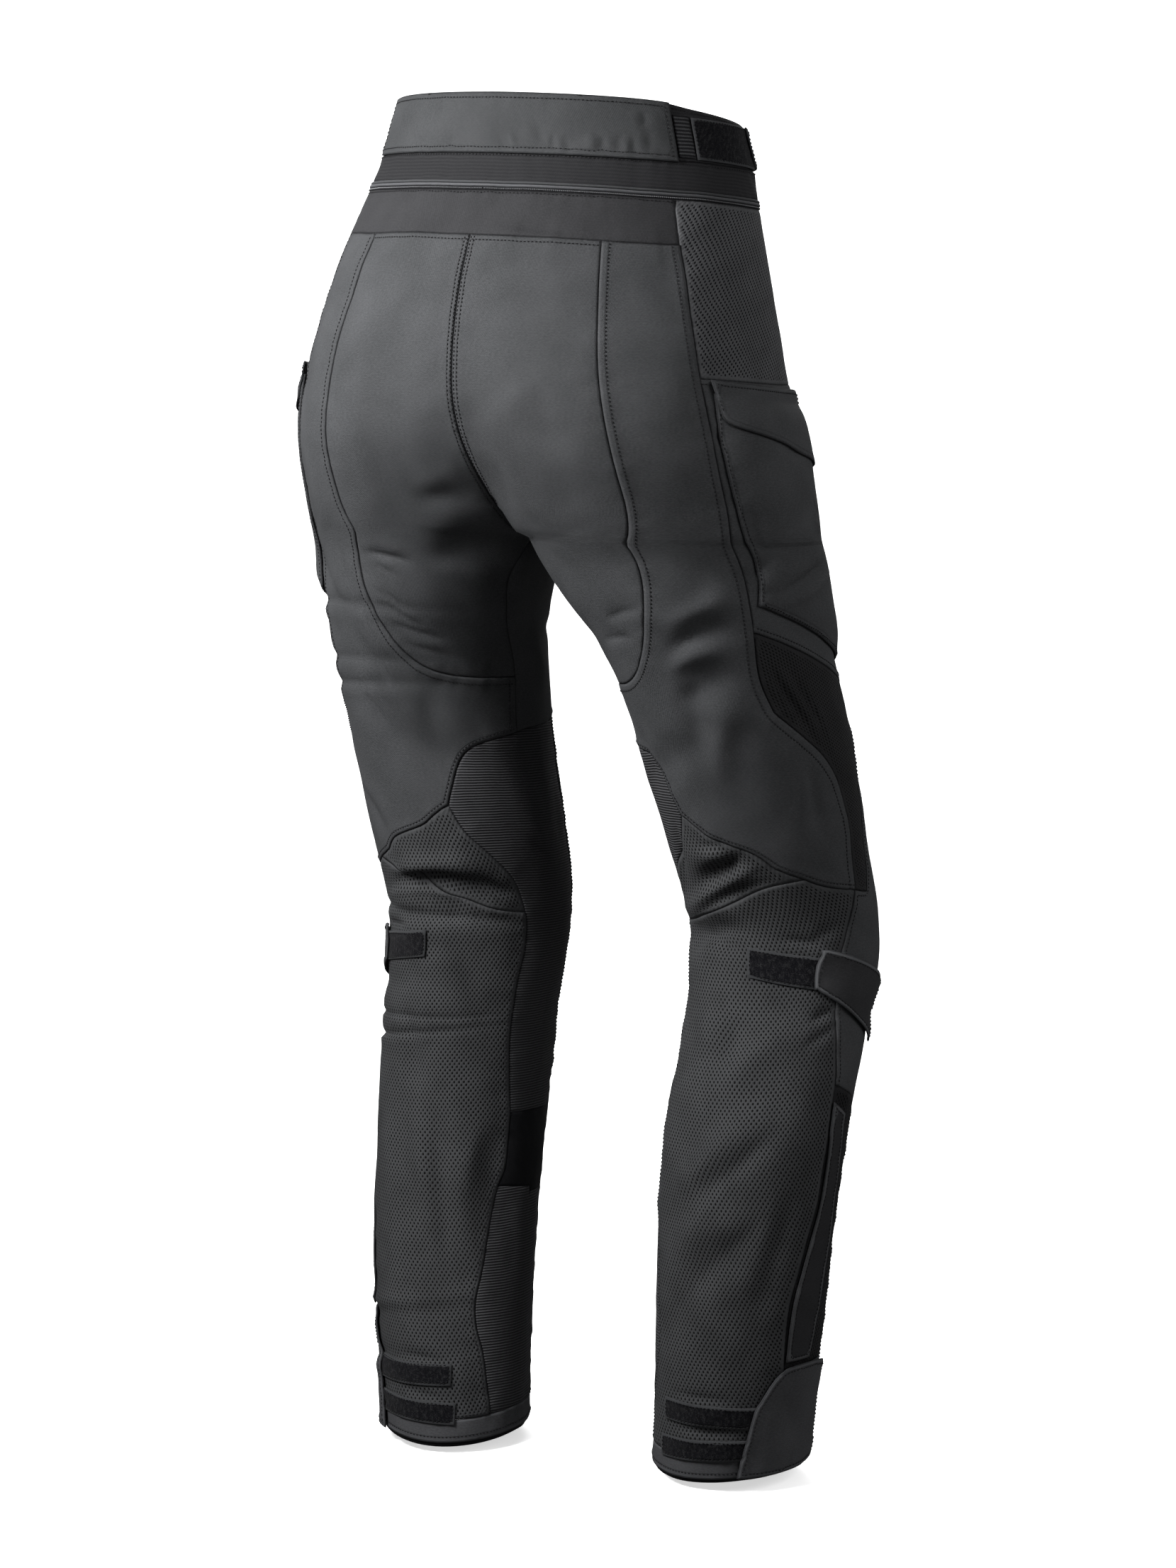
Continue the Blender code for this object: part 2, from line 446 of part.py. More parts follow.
class Pattern:
    """The flat pattern of one half: outlines, triangles and the piece that each triangle belongs to."""

    def __init__(self, form):
        self.form = form
        self.edges = self.body_outline()
        self.panels = [(name, self.outline(points, False)) for name, points in PANELS]
        self.laid = [(name, wall, layer, self.outline(points, name in STRAIGHT))
                     for name, wall, layer, points in LAID if form.side > 0 or name not in LEFT_ONLY]
        self.cut()

    def outline(self, points, straight):
        """A closed outline in pattern coordinates."""
        ring = np.array(points if straight else smooth_line(points, closed=True))
        return np.array([flat(share, level) for share, level in ring])

    def body_outline(self):
        """The outer edge of the half: waist, centre front, crotch, inseam, hem and centre back."""
        waist = [point for point in smooth_line(WAIST_EDGE) if 0 <= point[0] <= 1]
        hem = [point for point in smooth_line(HEM_EDGE) if 0 <= point[0] <= 1]
        levels = [CROTCH_LEVEL + FORK_RISE * share ** 2 for share in np.linspace(0, 1, FORK_STEPS)]
        for low, high in zip((hem[0][1],) + TIES, TIES + (CROTCH_LEVEL,)):
            count = max(1, round((high - low) / SEAM_STEP))
            levels.extend(np.linspace(low, high, count + 1)[:-1])
        levels = sorted(levels)[1:] + list(CENTRE_LEVELS)
        front = [(0.0, level) for level in levels]
        back = [(1.0, level) for level in levels[::-1]]
        ring = front + waist + back + hem[::-1]
        return np.array([flat(share, level) for share, level in ring])

    def label(self, points):
        """Number of the topmost panel under each point, and a set of laid pieces as bits."""
        panel = np.full(len(points), -1)
        for number, (_, outline) in enumerate(self.panels):
            panel[inside(outline, points)] = number
        names = [name for name, _ in PANELS]
        first = np.array([names.index(name) for name in names] + [-1])
        bits = np.zeros(len(points), int)
        for number, (_, _, _, outline) in enumerate(self.laid):
            bits += inside(outline, points).astype(int) << number
        within = inside(self.edges, points)
        return np.where(within, first[panel] + LAID_MARK * bits, -1)

    def segments(self):
        """Seam segments that really part two pieces, cut where they cross."""
        start, end = [self.edges], [np.roll(self.edges, -1, axis=0)]
        border = len(self.edges)
        for outline in [line for _, line in self.panels] + [piece[3] for piece in self.laid]:
            line = resample(np.concatenate((outline, outline[:1])), SEAM_STEP)
            start.append(line[:-1])
            end.append(line[1:])
        start, end = np.concatenate(start), np.concatenate(end)
        parts = []
        for a, b in zip(start[border:], end[border:]):
            run = b - a
            if np.hypot(*run) < LOOK_ASIDE / 100:
                continue
            other = end - start
            cross = run[0] * other[:, 1] - run[1] * other[:, 0]
            with np.errstate(divide="ignore", invalid="ignore"):
                t = ((start[:, 0] - a[0]) * other[:, 1] - (start[:, 1] - a[1]) * other[:, 0]) / cross
                s = ((start[:, 0] - a[0]) * run[1] - (start[:, 1] - a[1]) * run[0]) / cross
            meets = (np.abs(cross) > PARALLEL) & (t > NEAR) & (t < 1 - NEAR) & (s > -NEAR) & (s < 1 + NEAR)
            stops = np.unique(np.concatenate(((0.0, 1.0), t[meets])))
            for low, high in zip(stops, stops[1:]):
                parts.append((a + run * low, a + run * high))
        first = np.array([part[0] for part in parts])
        last = np.array([part[1] for part in parts])
        middle = (first + last) / 2
        run = last - first
        size = np.maximum(np.hypot(*run.T), TINY)
        aside = np.stack((-run[:, 1], run[:, 0]), axis=1) / size[:, None]
        parts_two = self.label(middle + aside * LOOK_ASIDE) != self.label(middle - aside * LOOK_ASIDE)
        return first[parts_two], last[parts_two]

    def join(self, ends, fixed):
        """Give each end of a segment a vertex, ends that lie close together sharing one."""
        verts = [tuple(point) for point in fixed]
        numbers = []
        for point in ends:
            away = np.hypot(*(np.array(verts) - point).T)
            nearest = int(np.argmin(away))
            if away[nearest] < JOIN_REACH:
                numbers.append(nearest)
            else:
                numbers.append(len(verts))
                verts.append(tuple(point))
        return verts, numbers

    def cut(self):
        """Triangles of the pattern between all seams."""
        first, last = self.segments()
        verts, numbers = self.join(np.concatenate((first, last)), self.edges)
        half = len(first)
        count = len(self.edges)
        edges = {(index, (index + 1) % count) for index in range(count)}
        for a, b in zip(numbers[:half], numbers[half:]):
            if a != b and (b, a) not in edges:
                edges.add((a, b))
        seam = np.array(verts)
        row_step = CLOTH_STEP * math.sin(math.radians(60))
        level = HEM_LEVEL
        odd = 0
        inner = []
        side_line = PATTERN_WIDTH / 2
        while level < GRID_TOP:
            for across in np.arange(-side_line, side_line, CLOTH_STEP) + odd * CLOTH_STEP / 2:
                inner.append((across, level))
            level += row_step
            odd = 1 - odd
        for side, round_a, level_a, round_b, level_b, half_width, _ in FOLDS:
            if side in (0, self.form.side):
                for share in np.linspace(FOLD_MARGIN, 1 - FOLD_MARGIN, FOLD_POINTS):
                    place = flat(round_a + (round_b - round_a) * share,
                                 level_a + (level_b - level_a) * share)
                    inner.extend((tuple(place), tuple(place + (0, half_width * BESIDE_FOLD))))
        spread = list(seam)
        for point in inner:
            if inside(self.edges, np.array([point]))[0]:
                if np.min(np.hypot(*(np.array(spread) - point).T)) > SPARE * CLOTH_STEP:
                    spread.append(np.array(point))
        points = np.array(spread)
        places, _, faces, _, _, _ = delaunay_2d_cdt([Vector(point * CUT_SCALE) for point in points],
                                                    sorted(edges), [], 0, NEAR)
        places = np.array([tuple(point) for point in places]) / CUT_SCALE
        faces = np.array([face for face in faces if len(face) == 3])
        middles = places[faces].mean(axis=1)
        keep = inside(self.edges, middles)
        self.points = places
        self.faces = faces[keep]
        middles = middles[keep]
        owner = np.full(len(middles), -1)
        for number, (_, outline) in enumerate(self.panels):
            owner[inside(outline, middles)] = number
        self.owner = [PANELS[number][0] if number >= 0 else "front" for number in owner]
        self.laid_faces = {piece[0]: inside(piece[3], middles) for piece in self.laid}

    def puff(self, point):
        """How far the pocket stands off the cloth under it."""
        outline = next(piece[3] for piece in self.laid if piece[0] == "pocket")
        if not inside(outline, np.array([point]))[0]:
            return 0.0
        distance = PUFF_REACH
        for a, b in zip(outline, np.roll(outline, -1, axis=0)):
            run = b - a
            share = np.clip(np.dot(point - a, run) / max(np.dot(run, run), PARALLEL), 0, 1)
            distance = min(distance, float(np.hypot(*(point - a - run * share))))
        share = min(distance / PUFF_REACH, 1.0)
        return POCKET_PUFF * share * (2 - share)


class Cloth:
    """Triangles of both halves with shared points, ready to be made into walled pieces."""

    def __init__(self):
        self.points = []
        self.normals = []
        self.numbers = {}
        self.pieces = {}
        self.lift = {}
        for side, word in ((-1, "right"), (1, "left")):
            self.add_half(side, word)

    def vertex(self, name, place, normal):
        """Number of a point, shared where two edges of the pattern meet under one name."""
        if name not in self.numbers:
            self.numbers[name] = len(self.points)
            self.points.append(place)
            self.normals.append(normal.copy())
        else:
            number = self.numbers[name]
            self.normals[number] = self.normals[number] + normal
        return self.numbers[name]

    def add_half(self, side, word):
        """Place the pattern of one half on its form and sort its triangles into pieces."""
        form = Form(side)
        pattern = Pattern(form)
        numbers = []
        puffs = []
        for across, level in pattern.points:
            place, normal = form.place(across, level)
            height = round(level, DIGITS)
            name = (word, round(across, DIGITS), height)
            if abs(across) > PATTERN_WIDTH / 2 - JOIN_REACH / 10:
                name = (word, "inseam", height)
                if level > CROTCH_LEVEL + JOIN_REACH / 10:
                    name = ("front" if across < 0 else "back", height)
                if abs(place[0]) < CENTRE_GAP / 2:
                    normal[0] = 0.0
                    place[0] = 0.0
                elif level > CROTCH_LEVEL:
                    name = (word,) + name
            numbers.append(self.vertex(name, place, normal))
            puffs.append(pattern.puff(np.array((across, level))))
        for face, owner in zip(pattern.faces, pattern.owner):
            self.add_face(owner, word, [numbers[index] for index in face], side)
        for piece, wall, layer, _ in pattern.laid:
            for index in np.nonzero(pattern.laid_faces[piece])[0]:
                face = pattern.faces[index]
                name = self.add_face(piece, word, [numbers[corner] for corner in face], side)
                for corner in face:
                    height = LAY_GAP + (PATCH_WALL + LAY_GAP) * (layer - 1)
                    if piece in ("pocket", "pocket_flap"):
                        height += puffs[corner]
                    if piece == "pocket_flap":
                        height += WALL - PATCH_WALL
                    self.lift[name, numbers[corner]] = height
            self.lift[self.piece_name(piece, word), "wall"] = wall

    def piece_name(self, name, word):
        """Node name of a piece."""
        return name if name in RINGS else name + "_" + word

    def add_face(self, name, word, corners, side):
        """Put one triangle into its piece, its face turned outward."""
        name = self.piece_name(name, word)
        if len(set(corners)) == 3:
            self.pieces.setdefault(name, []).append(corners if side > 0 else corners[::-1])
        return name

    def walled(self, name, faces, collection, material):
        """One closed piece: outer and inner face, its edge pulled in by half a seam gap."""
        wall = self.lift.get((name, "wall"), WALL)
        used = sorted({corner for face in faces for corner in face})
        edges = {}
        for face in faces:
            for a, b in zip(face, face[1:] + face[:1]):
                edges[a, b] = True
        border = [(a, b) for a, b in edges if (b, a) not in edges]
        pull = {}
        for a, b in border:
            run = self.points[b] - self.points[a]
            run = run / np.linalg.norm(run)
            for corner in (a, b):
                normal = self.normals[corner] / np.linalg.norm(self.normals[corner])
                pull.setdefault(corner, []).append(np.cross(normal, run))
        mesh = bmesh.new()
        outer, inner = {}, {}
        for corner in used:
            normal = self.normals[corner] / np.linalg.norm(self.normals[corner])
            place = self.points[corner].copy()
            if corner in pull:
                inward = sum(pull[corner])
                size = np.linalg.norm(inward)
                if size > FLAT_CORNER:
                    place += inward / size * (SEAM_GAP / 2) * min(len(pull[corner]) / size, LONGEST_PULL)
            lift = self.lift.get((name, corner))
            top = 0.0 if lift is None else lift + wall
            outer[corner] = mesh.verts.new(place + normal * top)
            inner[corner] = mesh.verts.new(place + normal * (top - wall))
        for a, b, c in faces:
            mesh.faces.new((outer[a], outer[b], outer[c]))
            mesh.faces.new((inner[c], inner[b], inner[a]))
        for a, b in border:
            low, high = min(a, b), max(a, b)
            mesh.faces.new((outer[b], outer[a], inner[low]))
            mesh.faces.new((inner[a], inner[b], outer[high]))
        data = bpy.data.meshes.new(name)
        mesh.to_mesh(data)
        mesh.free()
        data.shade_smooth()
        data.set_sharp_from_angle(angle=math.radians(SHARP_ANGLE))
        data.materials.append(material)
        piece = bpy.data.objects.new(name, data)
        collection.objects.link(piece)
        return piece


def cloth_material(name):
    """Plain cloth in the colour of one of the fabrics."""
    colour, roughness = CLOTH[name]
    material = bpy.data.materials.new(name)
    material.use_nodes = True
    shader = material.node_tree.nodes["Principled BSDF"]
    shader.inputs["Base Color"].default_value = (*colour, 1.0)
    shader.inputs["Roughness"].default_value = roughness
    shader.inputs["Metallic"].default_value = 0.0
    return material


def main():
    """Clear the scene and build every piece of the trousers."""
    for thing in list(bpy.data.objects):
        bpy.data.objects.remove(thing)
    collection = bpy.data.collections.new("motorcycle_trousers")
    bpy.context.scene.collection.children.link(collection)
    cloth = Cloth()
    for name, faces in cloth.pieces.items():
        plain = name.replace("_right", "").replace("_left", "")
        fabric = CLOTH_OF.get(plain, "shell")
        material = cloth_material(fabric)
        material.name = name + "_cloth"
        cloth.walled(name, faces, collection, material)


main()
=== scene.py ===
"""Visual model of touring motorcycle trousers in their worn, filled-out shape.

Metres, +Z up. The front faces -Y, the wearer's right side is -X, the origin is the centre of the waist opening.
A point of the cloth is given by its share of the way round one half, 0 at centre front, over the outer side, to
1 at centre back or the inseam, and by its level below the waist. The panels are cut from one flat pattern for
each half, laid on the body form, and given their folds, seams and stitching.
"""
import logging
import math
from dataclasses import dataclass, field
from enum import Enum
from typing import Iterable, Iterator, Optional, Sequence

import bmesh
import bpy
import numpy as np
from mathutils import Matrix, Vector
from mathutils.bvhtree import BVHTree
from mathutils.geometry import delaunay_2d_cdt
from mathutils.kdtree import KDTree


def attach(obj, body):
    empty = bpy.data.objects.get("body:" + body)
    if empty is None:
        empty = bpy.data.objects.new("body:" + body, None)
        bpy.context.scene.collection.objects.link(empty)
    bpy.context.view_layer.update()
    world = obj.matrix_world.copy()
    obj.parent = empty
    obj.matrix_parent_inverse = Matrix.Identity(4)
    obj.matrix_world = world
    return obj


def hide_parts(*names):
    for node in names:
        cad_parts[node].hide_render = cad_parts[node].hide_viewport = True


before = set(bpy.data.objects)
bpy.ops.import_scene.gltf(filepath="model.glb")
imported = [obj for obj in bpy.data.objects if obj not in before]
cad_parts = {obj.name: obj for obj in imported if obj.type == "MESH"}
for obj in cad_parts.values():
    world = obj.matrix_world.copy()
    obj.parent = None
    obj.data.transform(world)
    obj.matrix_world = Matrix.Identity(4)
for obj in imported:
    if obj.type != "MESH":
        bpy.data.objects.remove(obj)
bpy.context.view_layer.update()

LOG = logging.getLogger("trousers")
Triple = tuple[float, float, float]
Edge = tuple[int, int]
Strand = tuple[np.ndarray, np.ndarray, np.ndarray, float]

# Cloth and seams
WALL = 0.0016
PATCH_WALL = 0.0012
SEAM_GAP = 0.0001
LAY_GAP = 0.0003
SEAM_STEP = 0.0046
CLOTH_STEP = 0.0046
JOIN_REACH = 0.0010
SPARE = 0.66
BESIDE_SEAM = 0.0025
NARROW_CREASE = 0.0065
CREASE_STEP = 0.0036
CREASE_ROWS = (-1.3, -0.6, 0.0, 0.6, 1.3)
HEM_LEVEL = -1.080
PATTERN_WIDTH = 0.500
LOWEST_ROW = -1.090
CROTCH_LEVEL = -0.335
CROTCH_BACK = 0.030
FORK_RISE = 0.120
HIP_TILT = 0.070
TILT_END = -0.600
TILT_SPAN = 0.500
CENTRE_GAP = 0.0002
POCKET_PUFF = 0.0065
PUFF_REACH = 0.028
ARC = 0.5523
FOLD_EASE = 0.35
CREASE_EASE = 0.42
LOBE_DEPTH = 0.42
LOBE_AWAY = 1.9
LOBE_WIDTH = 1.1
CORNER = 0.78
NEAR = 1e-4
TINY = 1e-12
PAST_EDGE = 1e-3
LOOK_ASIDE = 4e-4
CUT_SCALE = 1000.0
FLAT_CORNER = 0.2
EDGE_ROUND = 0.42
LONGEST_PULL = 2.5
NARROWEST_CUT = 0.0102

# Body form of one half, x outward from the middle and y to the back:
# level, middle of the tube, its reach outward, forward, back and inward, and the centre front and back line.
BODY_COLUMNS = ("level", "mid_x", "mid_y", "out", "front", "back", "inner", "centre_front", "centre_back")
BODY = np.array((
    (0.012, 0.000, -0.019, 0.145, 0.105, 0.110, 0.000, -0.124, 0.091),
    (-0.040, 0.000, -0.016, 0.161, 0.110, 0.116, 0.000, -0.126, 0.100),
    (-0.080, 0.004, -0.006, 0.168, 0.116, 0.126, 0.004, -0.121, 0.120),
    (-0.140, 0.020, 0.008, 0.169, 0.124, 0.138, 0.020, -0.113, 0.146),
    (-0.200, 0.050, 0.014, 0.152, 0.128, 0.144, 0.050, -0.106, 0.158),
    (-0.260, 0.075, 0.009, 0.137, 0.122, 0.144, 0.075, -0.100, 0.153),
    (-0.310, 0.088, -0.001, 0.128, 0.112, 0.129, 0.088, -0.092, 0.130),
    (-0.350, 0.101, -0.010, 0.117, 0.104, 0.112, 0.093, -0.085, 0.105),
    (-0.385, 0.115, -0.017, 0.102, 0.098, 0.105, 0.093, -0.085, 0.105),
    (-0.420, 0.124, -0.026, 0.092, 0.092, 0.098, 0.089, -0.085, 0.105),
    (-0.500, 0.129, -0.047, 0.086, 0.086, 0.088, 0.086, -0.085, 0.105),
    (-0.580, 0.133, -0.068, 0.083, 0.082, 0.081, 0.083, -0.085, 0.105),
    (-0.660, 0.139, -0.087, 0.078, 0.079, 0.075, 0.078, -0.085, 0.105),
    (-0.740, 0.143, -0.070, 0.075, 0.075, 0.073, 0.075, -0.085, 0.105),
    (-0.820, 0.143, -0.049, 0.074, 0.072, 0.072, 0.074, -0.085, 0.105),
    (-0.920, 0.139, -0.034, 0.070, 0.068, 0.068, 0.070, -0.085, 0.105),
    (-1.090, 0.125, -0.018, 0.060, 0.063, 0.063, 0.060, -0.085, 0.105),
))

# Stance: how far each leg stands out and back from the even pose, the weight on the left leg.
STANCE_COLUMNS = ("level", "right_out", "right_back", "left_out", "left_back")
STANCE = np.array((
    (-0.335, 0.000, 0.000, 0.000, 0.000),
    (-0.420, 0.008, -0.001, 0.003, -0.001),
    (-0.500, 0.018, -0.004, 0.003, -0.003),
    (-0.660, 0.018, -0.016, -0.018, 0.013),
    (-0.820, 0.022, 0.012, -0.010, -0.017),
    (-1.090, 0.025, 0.000, -0.026, 0.018),
))

# Largest folds: side (-1 right, 1 left, 0 both), both ends as share round and level, half width, depth.
# A negative depth is a trough.
FOLD_COLUMNS = ("side", "round_a", "level_a", "round_b", "level_b", "width", "depth")
FOLDS = (
    (1, 0.66, -0.632, 0.90, -0.640, 0.011, -0.0070),
    (1, 0.68, -0.612, 0.88, -0.616, 0.011, 0.0035),
    (1, 0.64, -0.664, 0.86, -0.660, 0.013, 0.0030),
    (-1, 0.72, -0.650, 0.93, -0.664, 0.011, -0.0075),
    (-1, 0.76, -0.630, 0.93, -0.640, 0.011, 0.0045),
    (-1, 0.80, -0.680, 0.95, -0.684, 0.012, 0.0025),
    (0, 0.70, -0.490, 0.90, -0.535, 0.016, -0.0030),
    (1, 0.62, -0.330, 0.74, -0.420, 0.014, -0.0030),
    (-1, 0.62, -0.760, 0.90, -0.860, 0.018, -0.0030),
    (1, 0.70, -0.760, 0.78, -0.960, 0.018, -0.0030),
    (0, 0.03, -0.740, 0.94, -0.700, 0.012, -0.0025),
    (0, 0.10, -0.350, 0.30, -0.330, 0.016, -0.0040),
    (0, 0.06, -0.320, 0.26, -0.290, 0.016, 0.0030),
)

# Seam lines on the pattern, each point a share round and a level
BAND_LOW = -0.036
TAPE_TOP = -0.0595
TAPE_LOW = -0.0665
YOKE_LOW = -0.102
HIP_LOW = -0.2045
RIB_TOP_LEVEL = -0.494
PATCH_TOP = -0.822
PATCH_LOW = -0.888
HEM_TOP = -1.061
TIES = (HEM_TOP, PATCH_LOW, PATCH_TOP, RIB_TOP_LEVEL)
CENTRE_LEVELS = (-0.190, -0.165, -0.140, -0.120, YOKE_LOW, -0.085, TAPE_LOW, TAPE_TOP, BAND_LOW, -0.015)
PAST = 0.05
TOP = 0.030
BELOW = -1.200

WAIST_EDGE = ((-PAST, -0.006), (0.00, -0.006), (0.25, -0.005), (0.45, 0.000), (0.60, 0.005),
              (0.70, 0.009), (1.00, 0.010), (1 + PAST, 0.010))
HEM_EDGE = ((-PAST, -1.079), (0.00, -1.079), (0.30, -1.078), (0.60, -1.080), (0.80, -1.084),
            (1.00, -1.079), (1 + PAST, -1.079))
INSEAM = ((0.945, -0.530), (0.947, -0.495), (0.955, -0.4525), (0.960, -0.420), (0.970, -0.373),
          (0.985, -0.350), (1.001, -0.336), (1 + PAST, -0.300))
OUTER_SEAM = ((0.661, -0.060), (0.652, -0.102), (0.645, -0.132), (0.637, -0.200), (0.629, -0.250),
              (0.631, -0.304), (0.643, -0.350), (0.633, -0.404), (0.625, -0.433), (0.615, -0.470),
              (0.577, -0.491), (0.546, -0.508), (0.527, -0.533), (0.523, -0.564), (0.530, -0.592),
              (0.541, -0.619))
THIGH_LOW = ((0.541, -0.619), (0.600, -0.614), (0.640, -0.606), (0.672, -0.599), (0.702, -0.587),
             (0.762, -0.576), (0.790, -0.566), (0.815, -0.558))
SEAT_SEAM = ((0.955, -0.4525), (0.900, -0.4525), (0.845, -0.450), (0.808, -0.441), (0.788, -0.424),
             (0.775, -0.395), (0.765, -0.358), (0.761, -0.320), (0.768, -0.280), (0.775, -0.240),
             (0.779, -0.200), (0.778, -0.150), (0.778, -0.102), (0.778, -0.090))
CALF_FRONT = ((0.541, -0.619), (0.565, -0.645), (0.583, -0.668), (0.580, -0.700), (0.562, -0.740),
              (0.545, -0.771), (0.538, -0.800), (0.537, -0.829), (0.542, -0.862), (0.557, -0.885),
              (0.573, -0.916), (0.584, -0.940), (0.584, -0.965), (0.579, -0.995), (0.579, BELOW))
STRIP_LOW = ((0.360, -0.458), (0.421, -0.447), (0.530, -0.424), (0.633, -0.404), (0.680, -0.396))
RIB_TOP = ((1 + PAST, RIB_TOP_LEVEL), (1.000, RIB_TOP_LEVEL), (0.941, -0.499), (0.874, -0.508),
           (0.844, -0.522), (0.824, -0.545), (0.815, -0.558))
RIB_BACK = ((0.815, -0.558), (0.835, -0.580), (0.870, -0.600), (0.905, -0.622), (0.922, -0.650),
            (0.924, -0.682), (0.915, -0.713), (0.912, -0.754), (0.918, -0.790), (0.928, -0.821))
LOW_RIB_BACK = ((0.917, -0.881), (0.902, -0.914), (0.890, -0.945), (0.877, -0.972), (0.880, -0.993),
                (0.895, -1.014), (0.908, -1.045), (0.915, -1.070), (0.915, BELOW))
RIB_FRONT = 0.083

# Panels, lowest layer first: a later outline covers an earlier one where they cross.
PANELS = (
    ("front", ((-PAST, TOP), (1 + PAST, TOP), (1 + PAST, -0.550), (-PAST, -0.550))),
    ("knee_front", ((-PAST, -0.600), (0.030, -0.560), (0.063, -0.490), (0.200, -0.478), (0.320, -0.476),
                    (0.400, -0.476), (0.600, -0.476), (0.600, -0.790), (0.545, -0.790), (0.300, -0.805),
                    (0.083, -0.795), (-PAST, -0.795))),
    ("shin", ((-PAST, -0.795), (0.083, -0.795), (0.300, -0.805), (0.545, -0.790), (1 + PAST, -0.790),
              (1 + PAST, BELOW), (-PAST, BELOW))),
    ("side_panel", ((0.360, HIP_LOW), (0.700, HIP_LOW)) + STRIP_LOW[::-1]),
    ("hip_mesh", ((0.360, -0.040), (0.360, HIP_LOW), (0.700, HIP_LOW), (0.700, -0.040))),
    ("thigh_mesh", STRIP_LOW + ((0.680, -0.600), (0.541, -0.619), (0.505, -0.622), (0.475, -0.585),
                                (0.448, -0.535), (0.420, -0.492))),
    ("calf_mesh", ((0.541, -0.600),) + CALF_FRONT + ((1 + PAST, BELOW), (1 + PAST, -0.600))),
    ("knee_pit", ((0.630, -0.608), (0.698, -0.616), (0.764, -0.630), (0.820, -0.640), (0.878, -0.648),
                  (0.960, -0.652), (0.960, -0.540), (0.630, -0.540))),
    ("thigh_back", OUTER_SEAM + THIGH_LOW[1:] + ((0.860, -0.552), (0.945, -0.530)) + INSEAM[1:]
     + ((1 + PAST, -0.060),)),
    ("seat", SEAT_SEAM[::-1] + INSEAM[3:] + ((1 + PAST, -0.090),)),
    ("yoke", ((0.661, -0.060), (0.652, YOKE_LOW), (1 + PAST, YOKE_LOW), (1 + PAST, -0.060))),
    ("gusset", ((0.545, -0.771), (0.440, -0.790), (0.430, -0.880), (0.430, -0.995)) + CALF_FRONT[13:4:-1]),
    ("inner_rib", RIB_TOP + RIB_BACK[1:] + ((1 + PAST, PATCH_TOP),)),
    ("inner_rib", ((-PAST, RIB_TOP_LEVEL), (0.000, RIB_TOP_LEVEL), (0.063, -0.490), (0.072, -0.520),
                   (0.080, -0.700), (RIB_FRONT, PATCH_TOP), (-PAST, PATCH_TOP))),
    ("inner_patch", ((1 + PAST, PATCH_TOP), (0.928, -0.821), (0.930, -0.862), (0.917, -0.881),
                     (1 + PAST, PATCH_LOW))),
    ("inner_patch", ((-PAST, PATCH_TOP), (RIB_FRONT, PATCH_TOP), (RIB_FRONT, -0.892), (-PAST, PATCH_LOW))),
    ("inner_low", ((1 + PAST, PATCH_LOW),) + LOW_RIB_BACK + ((1 + PAST, BELOW),)),
    ("inner_low", ((-PAST, PATCH_LOW), (RIB_FRONT, -0.892), (RIB_FRONT, BELOW), (-PAST, BELOW))),
    ("hem_band", ((-PAST, HEM_TOP), (0.500, HEM_TOP), (0.800, -1.066), (1.000, HEM_TOP), (1 + PAST, HEM_TOP),
                  (1 + PAST, BELOW), (-PAST, BELOW))),
    ("zip_tape", ((-PAST, TAPE_TOP), (1 + PAST, TAPE_TOP), (1 + PAST, TAPE_LOW), (-PAST, TAPE_LOW))),
    ("lower_band", ((-PAST, BAND_LOW), (1 + PAST, BAND_LOW), (1 + PAST, TAPE_TOP), (-PAST, TAPE_TOP))),
    ("waistband", ((-PAST, TOP), (1 + PAST, TOP), (1 + PAST, BAND_LOW), (-PAST, BAND_LOW))),
)

